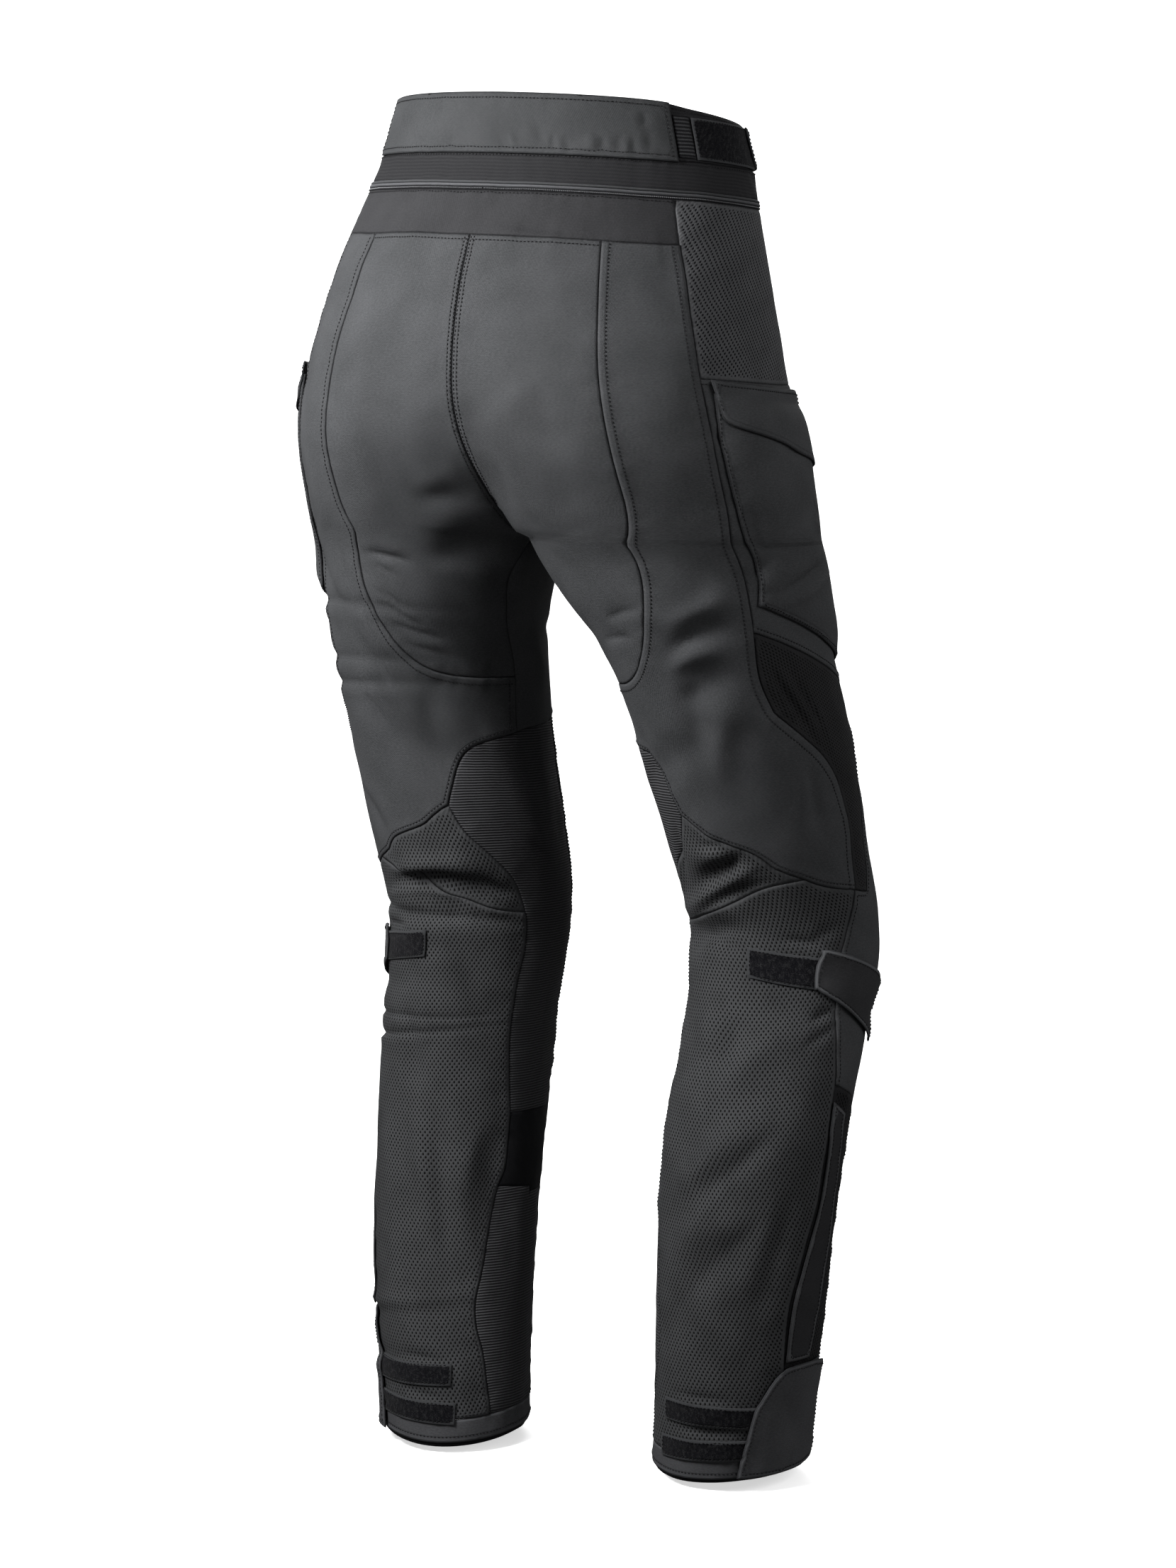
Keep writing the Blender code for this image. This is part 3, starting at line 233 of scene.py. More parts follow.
# Pieces that lie on the panels: name, wall, layer, outline. A higher layer lies on the lower ones.
LAID = (
    ("waist_back", WALL, 1, ((0.657, TOP), (0.652, BAND_LOW - 0.001), (1 + PAST, BAND_LOW - 0.001),
                             (1 + PAST, TOP))),
    ("waist_elastic", PATCH_WALL, 1, ((0.650, -0.001), (0.648, -0.033), (0.616, -0.033), (0.618, -0.001))),
    ("waist_loop", PATCH_WALL, 1, ((0.612, -0.002), (0.612, -0.034), (0.410, -0.035), (0.410, -0.003))),
    ("waist_tab", WALL, 2, ((0.435, -0.003), (0.427, -0.034), (0.300, -0.034), (0.300, -0.004))),
    ("pocket", WALL, 1, ((0.618, -0.216), (0.380, -0.221), (0.372, -0.330), (0.366, -0.436), (0.428, -0.426),
                         (0.540, -0.401), (0.626, -0.382), (0.616, -0.300))),
    ("pocket_flap", WALL, 2, ((0.622, -0.206), (0.615, -0.224), (0.600, -0.240), (0.500, -0.255),
                              (0.406, -0.270), (0.368, -0.273), (0.372, -0.210))),
    ("knee_loop", PATCH_WALL, 1, ((0.745, -0.665), (0.742, -0.688), (0.608, -0.698), (0.605, -0.674))),
    ("knee_tab", WALL, 2, ((0.628, -0.679), (0.622, -0.671), (0.606, -0.667), (0.480, -0.688),
                           (0.425, -0.702), (0.425, -0.744), (0.450, -0.742), (0.560, -0.712),
                           (0.618, -0.698), (0.628, -0.692))),
    ("placket", WALL, 1, ((0.540, -0.785), (0.533, -0.829), (0.538, -0.862), (0.553, -0.888), (0.568, -0.916),
                          (0.578, -0.942), (0.578, -0.988), (0.515, -0.988), (0.506, -0.940), (0.494, -0.890),
                          (0.490, -0.840), (0.502, -0.795))),
    ("cuff_loop_upper", PATCH_WALL, 1, ((0.830, -1.022), (0.828, -1.039), (0.605, -1.041), (0.605, -1.024))),
    ("cuff_loop_lower", PATCH_WALL, 1, ((0.838, -1.053), (0.836, -1.070), (0.605, -1.066), (0.605, -1.050))),
    ("cuff_flap", WALL, 2, ((0.574, -0.993), (0.633, -1.024), (0.641, -1.043), (0.655, -1.080),
                            (0.640, -1.0805), (0.420, -1.0775), (0.400, -1.060), (0.400, -1.010),
                            (0.430, -0.998))),
    ("fly", WALL, 1, ((-PAST, -0.038), (0.045, -0.038), (0.045, -0.170), (0.030, -0.195), (-PAST, -0.212))),
)
RINGS = ("yoke", "zip_tape", "lower_band", "waist_back", "fly")
LEFT_ONLY = ("fly",)
STRAIGHT = {"waist_elastic", "waist_loop", "waist_tab", "knee_loop", "cuff_loop_upper", "cuff_loop_lower"}

# Small creases: side, both ends as share round and level, half width, depth and sideways bow.
# Shares in thousandths, levels in millimetres, the last three in tenths of a millimetre.
CREASE_COLUMNS = ("side", "round_a", "level_a", "round_b", "level_b", "width", "depth", "bow")
CREASE_UNITS = np.array((1, 1e-3, 1e-3, 1e-3, 1e-3, 1e-4, 1e-4, 1e-4))
CREASES = (
    (1, 769, -352, 853, -360, 36, -28, 20),
    (1, 785, -358, 825, -373, 32, -21, 10),
    (1, 876, -313, 1000, -308, 95, -38, 50),
    (1, 853, -362, 989, -346, 190, -42, 40),
    (1, 857, -362, 961, -375, 86, 19, 40),
    (1, 782, -377, 830, -398, 32, -21, -10),
    (1, 785, -389, 848, -414, 36, -23, -20),
    (1, 789, -406, 872, -423, 36, -17, -20),
    (1, 793, -423, 875, -437, 40, -15, -10),
    (1, 735, -348, 756, -391, 40, -14, -20),
    (1, 746, -371, 786, -425, 40, -22, -30),
    (1, 742, -389, 771, -443, 36, 17, -30),
    (1, 728, -410, 753, -460, 40, -20, -30),
    (1, 713, -425, 764, -485, 48, 17, -30),
    (1, 700, -456, 738, -497, 40, -17, -20),
    (1, 700, -470, 727, -520, 48, 13, -10),
    (1, 810, -454, 824, -549, 133, -30, -40),
    (1, 594, -543, 703, -593, 86, -32, -30),
    (1, 974, -398, 53, -391, 48, -23, -20),
    (1, 957, -437, 50, -437, 48, -20, 20),
    (1, 950, -456, 43, -472, 48, -21, -20),
    (1, 628, -634, 918, -638, 66, -80, 150),
    (1, 588, -647, 918, -651, 52, 37, 150),
    (1, 598, -659, 918, -655, 66, -53, 30),
    (1, 593, -665, 710, -663, 32, -30, 0),
    (1, 807, -657, 923, -661, 48, -18, 20),
    (1, 821, -615, 913, -640, 36, -23, 30),
    (1, 827, -626, 918, -651, 36, 20, 30),
    (1, 938, -744, 63, -798, 36, -31, -30),
    (1, 979, -736, 48, -754, 32, -23, 0),
    (1, 943, -653, 11, -644, 40, -25, 0),
    (1, 942, -586, 989, -609, 48, -21, 10),
    (1, 789, -777, 855, -1007, 114, -34, -60),
    (1, 723, -792, 793, -951, 133, 40, 60),
    (1, 871, -812, 835, -929, 114, 27, 0),
    (1, 688, -721, 745, -815, 95, -38, 30),
    (1, 796, -688, 892, -777, 114, -27, 30),
    (1, 692, -1043, 834, -1051, 32, -16, 10),
    (1, 702, -1016, 849, -1022, 32, -15, 10),
    (1, 926, -1009, 22, -1051, 76, -30, 0),
    (1, 989, -958, 27, -1018, 66, 28, 0),
    (-1, 861, -204, 859, -279, 152, -34, 0),
    (-1, 944, -269, 838, -333, 114, 27, 40),
    (-1, 844, -398, 775, -387, 36, -16, -10),
    (-1, 875, -416, 786, -410, 36, -16, -10),
    (-1, 759, -404, 648, -375, 95, 42, -40),
    (-1, 756, -423, 653, -398, 76, -38, -30),
    (-1, 757, -439, 659, -412, 86, 30, -20),
    (-1, 759, -468, 643, -437, 104, -30, -30),
    (-1, 749, -514, 698, -431, 104, -27, -40),
    (-1, 733, -537, 669, -456, 95, 27, -30),
    (-1, 872, -477, 870, -547, 95, -30, -30),
    (-1, 572, -503, 585, -584, 66, -34, 30),
    (-1, 464, -294, 460, -333, 40, -37, -20),
    (-1, 493, -344, 624, -381, 36, -32, 30),
    (-1, 475, -354, 609, -389, 40, 25, 30),
    (-1, 645, -367, 589, -338, 48, -23, -20),
    (-1, 581, -294, 614, -352, 86, -30, 20),
    (-1, 614, -240, 619, -263, 32, -21, 10),
    (-1, 547, -252, 432, -263, 40, -21, 20),
    (-1, 622, -412, 551, -501, 32, -23, -30),
    (-1, 602, -418, 541, -506, 32, 20, -30),
    (-1, 577, -425, 524, -497, 32, -20, -20),
    (-1, 551, -431, 520, -510, 32, 16, -20),
    (-1, 614, -433, 577, -491, 32, 16, -20),
    (-1, 805, -584, 713, -584, 48, -28, -20),
    (-1, 702, -584, 832, -626, 76, -80, 20),
    (-1, 677, -593, 868, -640, 48, 39, 30),
    (-1, 672, -607, 863, -647, 40, -34, 40),
    (-1, 863, -661, 753, -671, 48, -32, -30),
    (-1, 853, -669, 737, -657, 48, 23, -20),
    (-1, 700, -655, 583, -661, 40, -25, 20),
    (-1, 643, -659, 578, -644, 48, -25, 0),
    (-1, 577, -711, 627, -721, 32, -25, 0),
    (-1, 561, -723, 637, -742, 40, -21, 0),
    (-1, 835, -557, 862, -618, 48, -31, 0),
    (-1, 866, -589, 893, -632, 48, 23, 0),
    (-1, 671, -779, 851, -877, 152, 46, 50),
    (-1, 620, -790, 830, -900, 124, -42, 40),
    (-1, 686, -827, 840, -916, 104, 34, 30),
    (-1, 624, -860, 855, -970, 124, -38, 40),
    (-1, 731, -709, 757, -765, 124, -32, 40),
    (-1, 652, -719, 772, -786, 124, 30, 30),
    (-1, 588, -833, 650, -972, 95, -27, 30),
    (-1, 824, -1016, 656, -1018, 32, -16, 0),
    (-1, 818, -1045, 651, -1045, 32, -16, 0),
    (-1, 600, -1009, 489, -1065, 95, -23, 0),
    (-1, 854, -21, 853, -38, 36, -16, 0),
    (-1, 987, -21, 974, -36, 32, -17, 0),
    (-1, 962, -19, 949, -36, 32, 15, 0),
    (-1, 877, -21, 877, -36, 32, -17, 0),
    (-1, 786, -21, 786, -36, 32, -17, 0),
    (-1, 733, -21, 732, -36, 32, -17, 0),
    (-1, 1000, 4, 999, -11, 32, -15, 0),
    (-1, 704, 0, 713, -15, 32, -15, 0),
    (1, 901, -21, 912, -34, 32, -17, 0),
    (1, 797, -17, 819, -32, 32, -17, 0),
    (1, 867, 4, 878, -9, 32, -14, 0),
    (-1, 809, -17, 808, -38, 40, 13, 0),
    (-1, 754, -19, 764, -38, 36, -15, 0),
    (-1, 913, -9, 889, -38, 48, -14, 0),
    (-1, 703, -11, 701, -36, 40, -12, 0),
    (1, 820, -15, 865, -40, 48, -14, 0),
    (1, 725, 2, 786, -34, 48, 18, 0),
    (-1, 973, -94, 800, -98, 40, -18, -20),
    (0, 40, -280, 220, -225, 70, -26, 30),
    (0, 50, -312, 240, -272, 60, 21, 30),
    (1, 30, -345, 200, -362, 70, -22, 20),
    (-1, 40, -350, 220, -340, 70, -23, 30),
    (1, 60, -400, 240, -450, 80, -17, 30),
    (-1, 80, -420, 300, -400, 80, -19, 30),
    (0, 250, -400, 340, -520, 120, -15, 40),
    (1, 120, -520, 300, -560, 90, 15, 30),
    (-1, 140, -550, 330, -530, 90, -17, 30),
    (1, 400, -300, 470, -400, 60, -18, 30),
    (0, 300, -150, 350, -260, 90, -14, 30),
    (1, 140, -820, 320, -860, 90, -16, 30),
    (-1, 120, -835, 300, -850, 90, -15, -30),
    (1, 200, -900, 360, -980, 100, 15, 40),
    (-1, 140, -930, 300, -1000, 100, -17, 30),
    (-1, 220, -850, 380, -950, 120, 14, 40),
    (1, 100, -860, 200, -950, 80, -14, 20),
    (0, 100, -700, 200, -720, 80, -13, 20),
    (0, 300, -660, 420, -650, 80, -14, -20),
    (1, 500, -640, 600, -700, 60, -10, 20),
)

INSEAM_PIECES = ("inner_rib", "inner_patch", "inner_low")

# Distance of the stitches from the free edges of the laid pieces
FREE_ROWS = {
    "waist_back": 0.0042, "waist_loop": 0.0016, "waist_tab": 0.0028, "pocket": 0.0032, "pocket_flap": 0.0032,
    "knee_loop": 0.0016, "knee_tab": 0.0028, "placket": 0.0030, "cuff_loop_upper": 0.0016,
    "cuff_loop_lower": 0.0016, "cuff_flap": 0.0030, "fly": 0.0040,
}

# Rows of stitches: piece, what the border is shared with, distances from it
STITCH_ROWS = (
    ("seat", ("yoke",), (0.0045,)),
    ("seat", ("centre",), (0.0014, 0.0042)),
    ("thigh_back", ("seat",), (0.0060,)),
    ("thigh_back", ("hip_mesh", "side_panel", "thigh_mesh", "front", "knee_front"), (0.0065,)),
    ("thigh_back", ("inner_rib", "knee_pit", "calf_mesh"), (0.0040,)),
    ("yoke", ("zip_tape",), (0.0025,)),
    ("front", ("hip_mesh", "side_panel", "thigh_mesh"), (0.0050,)),
    ("front", ("knee_front",), (0.0040,)),
    ("side_panel", ("hip_mesh", "thigh_mesh"), (0.0040,)),
    ("shin", ("knee_front", "gusset", "calf_mesh"), (0.0045,)),
    ("knee_front", ("inner_rib", "calf_mesh", "thigh_mesh", "thigh_back"), (0.0040,)),
    ("calf_mesh", ("inner_rib", "inner_patch", "inner_low"), (0.0035,)),
    ("shin", ("hem_band",), (0.0025,)),
    ("calf_mesh", ("hem_band",), (0.0025,)),
    ("hem_band", ("open",), (0.0040,)),
    ("waistband", ("open",), (0.0030,)),
    ("lower_band", ("waistband",), (0.0025,)),
) + tuple((name, ("free",), (offset,)) for name, offset in FREE_ROWS.items())


def smooth_step(value: np.ndarray) -> np.ndarray:
    """Soft step from 0 to 1 of a number or an array."""
    share = np.clip(value, 0.0, 1.0)
    return share * share * (3 - 2 * share)


def table_row(table: np.ndarray, level: float) -> np.ndarray:
    """Values of a table at one level, on a smooth curve through its rows.

    Args:
        table: Rows from the highest level to the lowest, the level first.
        level: Height in metres.

    Returns:
        The row's other values at that level.
    """
    rows = table[::-1]
    levels = rows[:, 0]
    values = rows[:, 1:]
    level = min(max(level, levels[0]), levels[-1])
    low = int(min(max(np.searchsorted(levels, level) - 1, 0), len(levels) - 2))
    step = levels[low + 1] - levels[low]
    share = (level - levels[low]) / step

    def slope(index: int) -> np.ndarray:
        """Slope of the curve at one row."""
        first = max(index - 1, 0)
        last = min(index + 1, len(levels) - 1)
        return step * (values[last] - values[first]) / (levels[last] - levels[first])

    square, cube = share ** 2, share ** 3
    return ((2 * cube - 3 * square + 1) * values[low] + (cube - 2 * square + share) * slope(low)
            + (3 * square - 2 * cube) * values[low + 1] + (cube - square) * slope(low + 1))


def arc(start: np.ndarray, lead: np.ndarray, tail: np.ndarray, end: np.ndarray, count: int = 24) -> np.ndarray:
    """Points of one curved quarter of a section.

    Args:
        start: First point.
        lead: Handle after the first point.
        tail: Handle before the last point.
        end: Last point.
        count: Number of steps.

    Returns:
        The points, one a row.
    """
    share = np.linspace(0, 1, count + 1)[:, None]
    rest = 1 - share
    return rest ** 3 * start + 3 * rest ** 2 * share * lead + 3 * rest * share ** 2 * tail + share ** 3 * end


def section(level: float, side: int) -> np.ndarray:
    """Outline of one half at one level, from centre front or inseam round the outside to the back.

    Args:
        level: Height in metres.
        side: -1 for the wearer's right half, 1 for the left.

    Returns:
        Points with x outward and y to the back.
    """
    size = dict(zip(BODY_COLUMNS[1:], table_row(BODY, level)))
    mid_x, mid_y = size["mid_x"], size["mid_y"]
    rise = level - CROTCH_LEVEL
    shift = np.zeros(2)
    if rise > 0:
        fall = 1 - min(rise / FORK_RISE, 1.0)
        spread = math.sqrt(1 - fall ** 2)
        start = np.array((0.0, CROTCH_BACK + (size["centre_front"] - CROTCH_BACK) * spread))
        end = np.array((0.0, CROTCH_BACK + (size["centre_back"] - CROTCH_BACK) * spread))
    else:
        fall = 1.0
        blend = float(smooth_step(-rise / FORK_RISE))
        stance = dict(zip(STANCE_COLUMNS[1:], table_row(STANCE, level)))
        word = "right" if side < 0 else "left"
        shift = np.array((stance[word + "_out"], stance[word + "_back"]))
        start = np.array((mid_x - size["inner"], CROTCH_BACK + (mid_y - CROTCH_BACK) * blend))
        end = start.copy()
    fore = np.array((mid_x, mid_y - size["front"]))
    outer = np.array((mid_x + size["out"], mid_y))
    rear = np.array((mid_x, mid_y + size["back"]))
    along = np.array((1.0, 0.0))
    across = np.array((0.0, 1.0))
    lead = (fore - start) * (1 - fall, fall)
    tail = (end - rear) * (1 - fall, fall)
    outline = np.concatenate((
        arc(start, start + ARC * lead, fore - ARC * (fore - start) * along, fore)[:-1],
        arc(fore, fore + ARC * size["out"] * along, outer - ARC * size["front"] * across, outer)[:-1],
        arc(outer, outer + ARC * size["back"] * across, rear + ARC * size["out"] * along, rear)[:-1],
        arc(rear, rear + ARC * (end - rear) * along, end - ARC * tail, end)))
    return outline + shift


class Ripple:
    """Soft uneven movement of cloth, as a sum of slanted waves with fixed directions."""

    def __init__(self, length: float, seed: int, stretch: float = 1.0) -> None:
        """Choose the waves.

        Args:
            length: Typical wave length in metres.
            seed: Number that fixes the waves.
            stretch: How much longer the waves are up and down than across.
        """
        chance = np.random.default_rng(seed)
        angle = chance.uniform(0, 2 * math.pi, 12)
        self.rate = 2 * math.pi / (length * chance.uniform(0.7, 1.6, 12))
        self.across = np.cos(angle)
        self.up = np.sin(angle) / stretch
        self.start = chance.uniform(0, 2 * math.pi, 12)

    def at(self, across: np.ndarray, level: np.ndarray) -> np.ndarray:
        """Height from about -1 to 1 at places of the cloth.

        Args:
            across: Distance across in metres.
            level: Level in metres.

        Returns:
            The heights.
        """
        total = np.zeros(np.shape(across))
        for rate, over, up, start in zip(self.rate, self.across, self.up, self.start):
            total = total + np.sin(rate * (over * across + up * level) + start)
        return total / 4.2


class Form:
    """The cloth surface of one half, as a fine table of points with outward normals."""

    def __init__(self, side: int) -> None:
        """Build the table of points of one half.

        Args:
            side: -1 for the wearer's right half, 1 for the left.
        """
        self.side = side
        near = CROTCH_LEVEL + FORK_RISE * (np.linspace(0, 1, 60) ** 2)
        self.levels = np.unique(np.concatenate((np.linspace(LOWEST_ROW, CROTCH_LEVEL, 300), near,
                                                np.linspace(CROTCH_LEVEL + FORK_RISE, BODY[0][0], 100))))
        self.shares = np.linspace(0, 1, 241)
        rows = []
        lengths = []
        for level in self.levels:
            outline = section(level, side)
            run = np.concatenate(((0.0,), np.cumsum(np.hypot(*np.diff(outline, axis=0).T))))
            lengths.append(run[-1])
            x = np.interp(self.shares * run[-1], run, outline[:, 0])
            y = np.interp(self.shares * run[-1], run, outline[:, 1])
            if level < YOKE_LOW - 0.01:
                x = np.maximum(x, CENTRE_GAP)
            tilt = HIP_TILT * float(smooth_step((level - TILT_END) / TILT_SPAN))
            rows.append(np.stack((x * side, y, level + tilt * x * side), axis=1))
        self.lengths = np.array(lengths)
        self.points = np.array(rows)
        self.normals = self.facing()
        self.points = self.points + self.normals * self.folds()[:, :, None]
        self.normals = self.facing()

    def facing(self) -> np.ndarray:
        """Outward normals of the table of points."""
        up = np.gradient(self.points, axis=0)
        onward = np.gradient(self.points, axis=1)
        legs = self.levels < CROTCH_LEVEL
        closing = self.points[legs][:, 1] - self.points[legs][:, -2]
        onward[legs, 0] = closing
        onward[legs, -1] = closing
        normal = np.cross(onward, up) * self.side
        return normal / np.linalg.norm(normal, axis=2, keepdims=True)

    def unrolled(self, share: np.ndarray, level: np.ndarray) -> np.ndarray:
        """Points of the cloth unrolled from the side line, at their true length, one a row."""
        return np.stack(((share - 0.5) * np.interp(level, self.levels, self.lengths), level), axis=-1)

    def own(self, rows: Sequence[Sequence[float]], columns: Sequence[str],
            units: float | np.ndarray = 1.0) -> Iterator[tuple[int, dict, np.ndarray, np.ndarray, float]]:
        """Folds or creases of this half, laid on the unrolled cloth.

        Args:
            rows: The table.
            columns: Names of its columns.
            units: What one step of each column is worth.

        Yields:
            Number in the table, values by column, start, direction and length.
        """
        for number, row in enumerate(rows):
            values = dict(zip(columns, np.array(row) * units))
            if values["side"] in (0, self.side):
                start = self.unrolled(values["round_a"], values["level_a"])
                run = self.unrolled(values["round_b"], values["level_b"]) - start
                span = np.hypot(*run)
                yield number, values, start, run / span, span

    def folds(self) -> np.ndarray:
        """Height of the large folds over the table of points."""
        share, level = np.meshgrid(self.shares, self.levels)
        place = self.unrolled(share, level)
        total = np.zeros(share.shape)
        for _, fold, start, run, span in self.own(FOLDS, FOLD_COLUMNS):
            along = (place - start) @ run
            away = (place - start) @ np.array((-run[1], run[0]))
            ends = smooth_step(np.minimum(along, span - along) / (span * FOLD_EASE))
            total += fold["depth"] * ends * np.exp(-(away / fold["width"]) ** 2)
        return total

    def crease_points(self) -> np.ndarray:
        """Pattern points along the narrow creases, so that the cloth's triangles follow them."""
        found = []
        for _, crease, start, run, span in self.own(CREASES, CREASE_COLUMNS, CREASE_UNITS):
            if crease["width"] > NARROW_CREASE:
                continue
            along = np.linspace(0, 1, max(4, round(span / CREASE_STEP)))[:, None]
            aside = np.array((-run[1], run[0]))
            for share in CREASE_ROWS:
                away = 4 * along * (1 - along) * crease["bow"] + share * crease["width"]
                line = start + run * span * along + aside * away
                width = np.interp(line[:, 1], self.levels, self.lengths)
                found.append(np.stack((line[:, 0] / width * PATTERN_WIDTH, line[:, 1]), axis=1))
        return np.concatenate(found)

    def creases(self, share: np.ndarray, level: np.ndarray) -> np.ndarray:
        """Height of the small creases and the cloth's own unevenness at places of the cloth.

        Args:
            share: Shares of the way round.
            level: Levels in metres.

        Returns:
            The heights in metres.
        """
        place = self.unrolled(share, level)
        width = np.interp(level, self.levels, self.lengths)
        border = (0.5 - np.abs(share - 0.5)) * width
        calm = smooth_step(border / 0.020)
        total = np.zeros(share.shape)
        for number, crease, start, run, span in self.own(CREASES, CREASE_COLUMNS, CREASE_UNITS):
            along = (place - start) @ run / span
            within = np.clip(along, 0, 1)
            bow = 4 * within * (1 - within) * crease["bow"]
            away = (place - start) @ np.array((-run[1], run[0])) - bow
            half = crease["width"] * (0.75 + 0.5 * smooth_step(along) + 0.16 * np.sin(7 * along + number))
            ends = smooth_step(np.minimum(along, 1 - along) / CREASE_EASE)
            lobe = np.exp(-((away - LOBE_AWAY * half) / (LOBE_WIDTH * half)) ** 2)
            total += crease["depth"] * ends * (np.exp(-np.abs(away / half) ** 1.6) - LOBE_DEPTH * lobe)
        soft = 0.0011 * Ripple(0.085, 5 + self.side, 1.8).at(place[..., 0], place[..., 1])
        fine = 0.00035 * Ripple(0.030, 15 + self.side, 1.4).at(place[..., 0], place[..., 1])
        return total * calm + (soft + fine) * calm * smooth_step(-level / 0.12)

    def place(self, across: np.ndarray, level: np.ndarray) -> tuple[np.ndarray, np.ndarray]:
        """World points and outward normals of pattern points.

        Args:
            across: Pattern distances across from the side line.
            level: Levels in metres.

        Returns:
            The points and the normals, one a row.
        """
        row = np.interp(level, self.levels, np.arange(len(self.levels)))
        row = np.minimum(row, len(self.levels) - 1 - PAST_EDGE)
        column = np.clip(across / PATTERN_WIDTH + 0.5, 0, 1) * (len(self.shares) - 1)
        column = np.minimum(column, len(self.shares) - 1 - PAST_EDGE)
        i, j = row.astype(int), column.astype(int)
        s, t = (row - i)[:, None], (column - j)[:, None]

        def mix(grid: np.ndarray) -> np.ndarray:
            """Values between the table's four nearest points."""
            return ((1 - s) * ((1 - t) * grid[i, j] + t * grid[i, j + 1])
                    + s * ((1 - t) * grid[i + 1, j] + t * grid[i + 1, j + 1]))

        normal = mix(self.normals)
        normal /= np.linalg.norm(normal, axis=1, keepdims=True)
        share = across / PATTERN_WIDTH + 0.5
        return mix(self.points) + normal * self.creases(share, level)[:, None], normal


def flat(share: float, level: float) -> np.ndarray:
    """Pattern coordinates of a point of the cloth, measured across from the side line."""
    return np.array(((share - 0.5) * PATTERN_WIDTH, level))


def smooth_line(points: Sequence[Sequence[float]], closed: bool = False) -> np.ndarray:
    """More points along an outline, on a soft curve through those given.

    Args:
        points: Points of the line.
        closed: Whether the last point joins the first.

    Returns:
        The finer line.
    """
    knots = [np.array(point) for point in points]
    count = len(knots)
    line = []
    for index in range(count if closed else count - 1):
        a = knots[(index - 1) % count] if closed or index else knots[0]
        b, c = knots[index], knots[(index + 1) % count]
        d = knots[(index + 2) % count] if closed or index + 2 < count else c
        turn_b = np.dot(b - a, c - b) > CORNER * np.hypot(*(b - a)) * np.hypot(*(c - b))
        turn_c = np.dot(c - b, d - c) > CORNER * np.hypot(*(c - b)) * np.hypot(*(d - c))
        lead = (c - a) / 6 if turn_b else (c - b) / 3
        tail = (d - b) / 6 if turn_c else (c - b) / 3
        line.extend(arc(b, b + lead, c - tail, c, 6)[:-1])
    if not closed:
        line.append(knots[-1])
    return np.array(line)


def resample(line: np.ndarray, step: float) -> np.ndarray:
    """Even points along a pattern line, its corners kept."""
    keep = [0]
    for index in range(1, len(line) - 1):
        before = line[index] - line[index - 1]
        after = line[index + 1] - line[index]
        if np.dot(before, after) < CORNER * np.hypot(*before) * np.hypot(*after):
            keep.append(index)
    keep.append(len(line) - 1)
    result = [line[0]]
    for first, last in zip(keep, keep[1:]):
        part = line[first:last + 1]
        run = np.concatenate(((0.0,), np.cumsum(np.hypot(*np.diff(part, axis=0).T))))
        count = max(1, round(run[-1] / step))
        for mark in np.linspace(0, run[-1], count + 1)[1:]:
            result.append(np.array((np.interp(mark, run, part[:, 0]), np.interp(mark, run, part[:, 1]))))
    return np.array(result)


def inside(outline: np.ndarray, points: np.ndarray) -> np.ndarray:
    """Which of the points lie inside a closed outline."""
    x, y = points[:, 0], points[:, 1]
    found = np.zeros(len(points), bool)
    for (ax, ay), (bx, by) in zip(outline, np.roll(outline, -1, axis=0)):
        crosses = (ay > y) != (by > y)
        with np.errstate(divide="ignore", invalid="ignore"):
            reach = (bx - ax) * (y - ay) / (by - ay) + ax
        found ^= crosses & (x < reach)
    return found


class NearTable:
    """Points sorted into squares, to find a close one fast."""

    def __init__(self, reach: float) -> None:
        """Start an empty table for points within one reach."""
        self.reach = reach
        self.squares: dict[tuple[int, int], list[int]] = {}
        self.points: list[tuple[float, float]] = []

    def nearest(self, point: Sequence[float]) -> Optional[int]:
        """Number of the nearest point within reach, or None."""
        column, row = int(math.floor(point[0] / self.reach)), int(math.floor(point[1] / self.reach))
        best, found = self.reach, None
        for i in (column - 1, column, column + 1):
            for j in (row - 1, row, row + 1):
                for number in self.squares.get((i, j), ()):
                    away = math.hypot(self.points[number][0] - point[0], self.points[number][1] - point[1])
                    if away < best:
                        best, found = away, number
        return found

    def add(self, point: Sequence[float]) -> int:
        """Put a point in and give its number."""
        square = int(math.floor(point[0] / self.reach)), int(math.floor(point[1] / self.reach))
        self.squares.setdefault(square, []).append(len(self.points))
        self.points.append((float(point[0]), float(point[1])))
        return len(self.points) - 1


